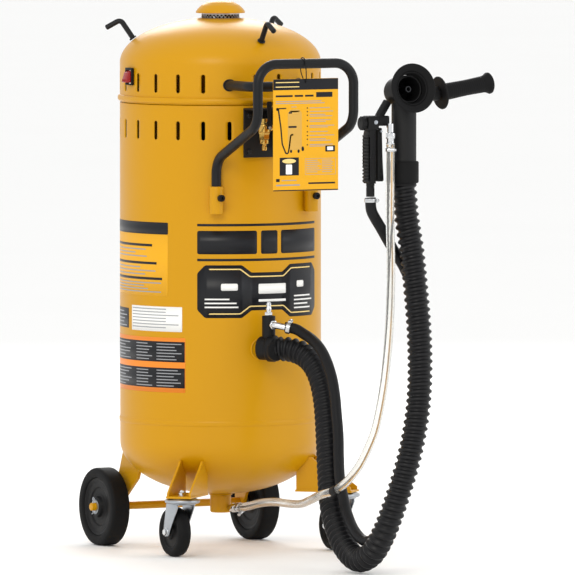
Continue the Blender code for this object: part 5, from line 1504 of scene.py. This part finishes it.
class BLASTVAC_OT_labels(bpy.types.Operator):
    """Build the plain front panels and the side labels, with bars in place of print"""

    bl_idname = "blastvac.labels"
    bl_label = "Labels"

    def execute(self, context):
        self.build_front()
        self.build_side()
        return {"FINISHED"}

    def build_front(self):
        """Two stripes round a plain banner, and a dumb-bell panel with a pinstripe."""
        half = math.radians(41) * TANK_R
        top, low, stripe, gap = 667.0, 592.0, 5, 14
        stripes = [rectangle(-half, top - stripe, half, top), rectangle(-half, low, half, low + stripe)]
        bars = [rectangle(-half + a * 2 * half, low + gap, -half + b * 2 * half, top - gap, 4)
                for a, b in ((0.0, 0.42), (0.45, 0.58), (0.61, 1.0))]
        wrapped_film("front_banner", stripes + bars, "ink", 0)
        panel_z, wide, waist, step = 531, 53.0, 38.0, half * 0.24
        corner, bend_r = 16.0, 9.0

        def lobed(inset):
            """The panel's outline, with its two ends taller than its waist, drawn in by the inset."""
            reach, tall, mid = half - inset, wide - inset, waist - inset
            bend = step + inset * 0.4
            right = [(bend, mid), (bend + 20, tall), (reach - corner, tall), (reach, tall - corner)]
            upper = [(-x, y) for x, y in reversed(right)] + right
            lower = [(x, -y) for x, y in reversed(upper)]
            return [(x, panel_z + y) for x, y in upper + lower]

        wrapped_film("front_panel", [outline_of(lobed(0), bend_r)[::-1]], "ink", 0)
        bands = []
        for sign in (1, -1):
            outer, inner = [], []
            for inset, line in ((7.0, outer), (9.4, inner)):
                path = lobed(inset)
                upper = path[1:len(path) // 2 - 1] if sign > 0 else path[len(path) // 2 + 1:-1]
                line.extend((p.x, p.y) for p in rounded(upper, bend_r, 5))
            for index in range(len(outer) - 1):
                bands.append([outer[index], outer[index + 1], inner[index + 1], inner[index]])
        wrapped_film("front_pinstripe", bands, "cream", 1)
        marks = print_lines(-half + 15, -step - 22, 517, 8, 3, 3.0, 4)
        marks += print_lines(step + 32, half - 14, 521, 8, 4, 3.0, 7)
        marks += [rectangle(-half + 48, 533, -half + 82, 547, 3), rectangle(step + 40, 537, step + 62, 550, 3)]
        wrapped_film("front_panel_print", marks, "white", 1)
        wrapped_film("front_panel_title", [rectangle(-20, 526, 44, 546, 2), rectangle(-20, 510, 44, 515, 1)],
                     "white", 2)

    def build_side(self):
        """Blocks of colour down the side, with bars on them in place of print."""
        def arc(azimuth):
            return math.radians(azimuth) * TANK_R

        left, right, edge = arc(-121), arc(-59), arc(-48.4)
        yellow_print = []
        for x1, top, pitch, count, seed in (
            (right - 42, 614, 7, 3, 1), (right - 26, 578, 7, 3, 2), (right - 12, 547, 6, 4, 3),
        ):
            yellow_print += print_lines(left + 20, x1, top, pitch, count, 2.2, seed)
        dark_print = []
        for x0, x1, seed in ((left + 8, arc(-88), 1), (arc(-84), arc(-70), 2), (arc(-67), arc(-50), 3)):
            for top, later in ((425, 0), (372, 4)):
                dark_print += print_lines(x0, x1, top, 6.2, 6, 2.0, seed + later)
        header = [rectangle(left, 644, right, 668, 2)]
        header += [rectangle(left + 20, z, right - short, z + 5) for z,
                   short in ((619, 40), (583, 28), (552, 14))]
        for name, outlines, ink, layer in (
            ("side_label_yellow", [rectangle(left, 520, right, 668, 3)], "card", 0),
            ("side_label_header", header, "ink", 1),
            ("side_label_print", yellow_print, "grey", 1),
            ("side_label_white", [rectangle(arc(-89), 449, arc(-50), 499, 1.5)], "white", 0),
            ("side_white_print", print_lines(arc(-88), arc(-51.5), 495, 6.2, 7, 2.0, 6), "grey", 1),
            ("side_label_plate", [rectangle(arc(-116), 452, arc(-93), 492, 1.5)], "ink", 0),
            ("side_plate_print", print_lines(arc(-114), arc(-95), 486, 7, 5, 2.4, 9), "grey", 1),
            ("side_label_orange", [rectangle(left, 327, arc(-48), 437, 1.5)], "orange", 0),
            ("side_label_dark", [rectangle(left, 388, edge, 429), rectangle(left, 336, edge, 376)], "ink", 1),
            ("side_dark_print", dark_print, "grey", 2),
        ):
            wrapped_film(name, outlines, ink, layer)


class BLASTVAC_OT_insides(bpy.types.Operator):
    """Finish the motor, its deck and the filter inside the tank"""

    bl_idname = "blastvac.insides"
    bl_label = "Insides"

    def execute(self, context):
        keep_nodes("zinc", "motor_deck", "filter_end_cap")
        keep_nodes("plastic", "motor_housing")
        keep_nodes("cast", "motor_rotor")
        pleats, pleat_depth, bore_r = 60, 9.0, 64.4

        def folded(angle, radius, height):
            """Folds the outer wall to and fro and leaves the bore plain."""
            return -pleat_depth * abs(2 * ((angle * pleats / TURN) % 1) - 1) if radius > bore_r else 0.0

        bm = bmesh.new()
        add_turned(bm, ring_profile(91.8, bore_r, 560.4, 805), steps=pleats * 4, wave=folded)
        piece("filter_pleats", bm, "paper", "tank", ["filter_cartridge"], 20)
        return {"FINISHED"}


# Panel and registration -------------------------------------------------------------------------------------


STEPS = (
    BLASTVAC_OT_stage, BLASTVAC_OT_hoses, BLASTVAC_OT_tank, BLASTVAC_OT_hood, BLASTVAC_OT_rear_wheels,
    BLASTVAC_OT_casters, BLASTVAC_OT_handle, BLASTVAC_OT_controls, BLASTVAC_OT_fittings, BLASTVAC_OT_hand_tool,
    BLASTVAC_OT_blast_handle, BLASTVAC_OT_hang_tag, BLASTVAC_OT_labels, BLASTVAC_OT_insides,
)


class BLASTVAC_PT_panel(bpy.types.Panel):
    """Lists the colours, the sizes and the steps"""

    bl_idname = "BLASTVAC_PT_panel"
    bl_label = "Blast Vacuum"
    bl_space_type = "VIEW_3D"
    bl_region_type = "UI"
    bl_category = "Blast Vacuum"

    def draw(self, context):
        for group in (context.scene.blastvac_colours, context.scene.blastvac_sizes):
            box = self.layout.box()
            for key in group.__annotations__:
                box.prop(group, key)
        column = self.layout.column(align=True)
        for step in STEPS:
            column.operator(step.bl_idname)


CLASSES = (BLASTVAC_PG_colours, BLASTVAC_PG_sizes, *STEPS, BLASTVAC_PT_panel)


def register():
    for item in CLASSES:
        bpy.utils.register_class(item)
    bpy.types.Scene.blastvac_colours = PointerProperty(type=BLASTVAC_PG_colours)
    bpy.types.Scene.blastvac_sizes = PointerProperty(type=BLASTVAC_PG_sizes)


def unregister():
    del bpy.types.Scene.blastvac_sizes
    del bpy.types.Scene.blastvac_colours
    for item in reversed(CLASSES):
        bpy.utils.unregister_class(item)


def main():
    register()
    for step in STEPS:
        group, name = step.bl_idname.split(".")
        getattr(getattr(bpy.ops, group), name)()
    bpy.context.view_layer.update()


if __name__ == "__main__":
    main()
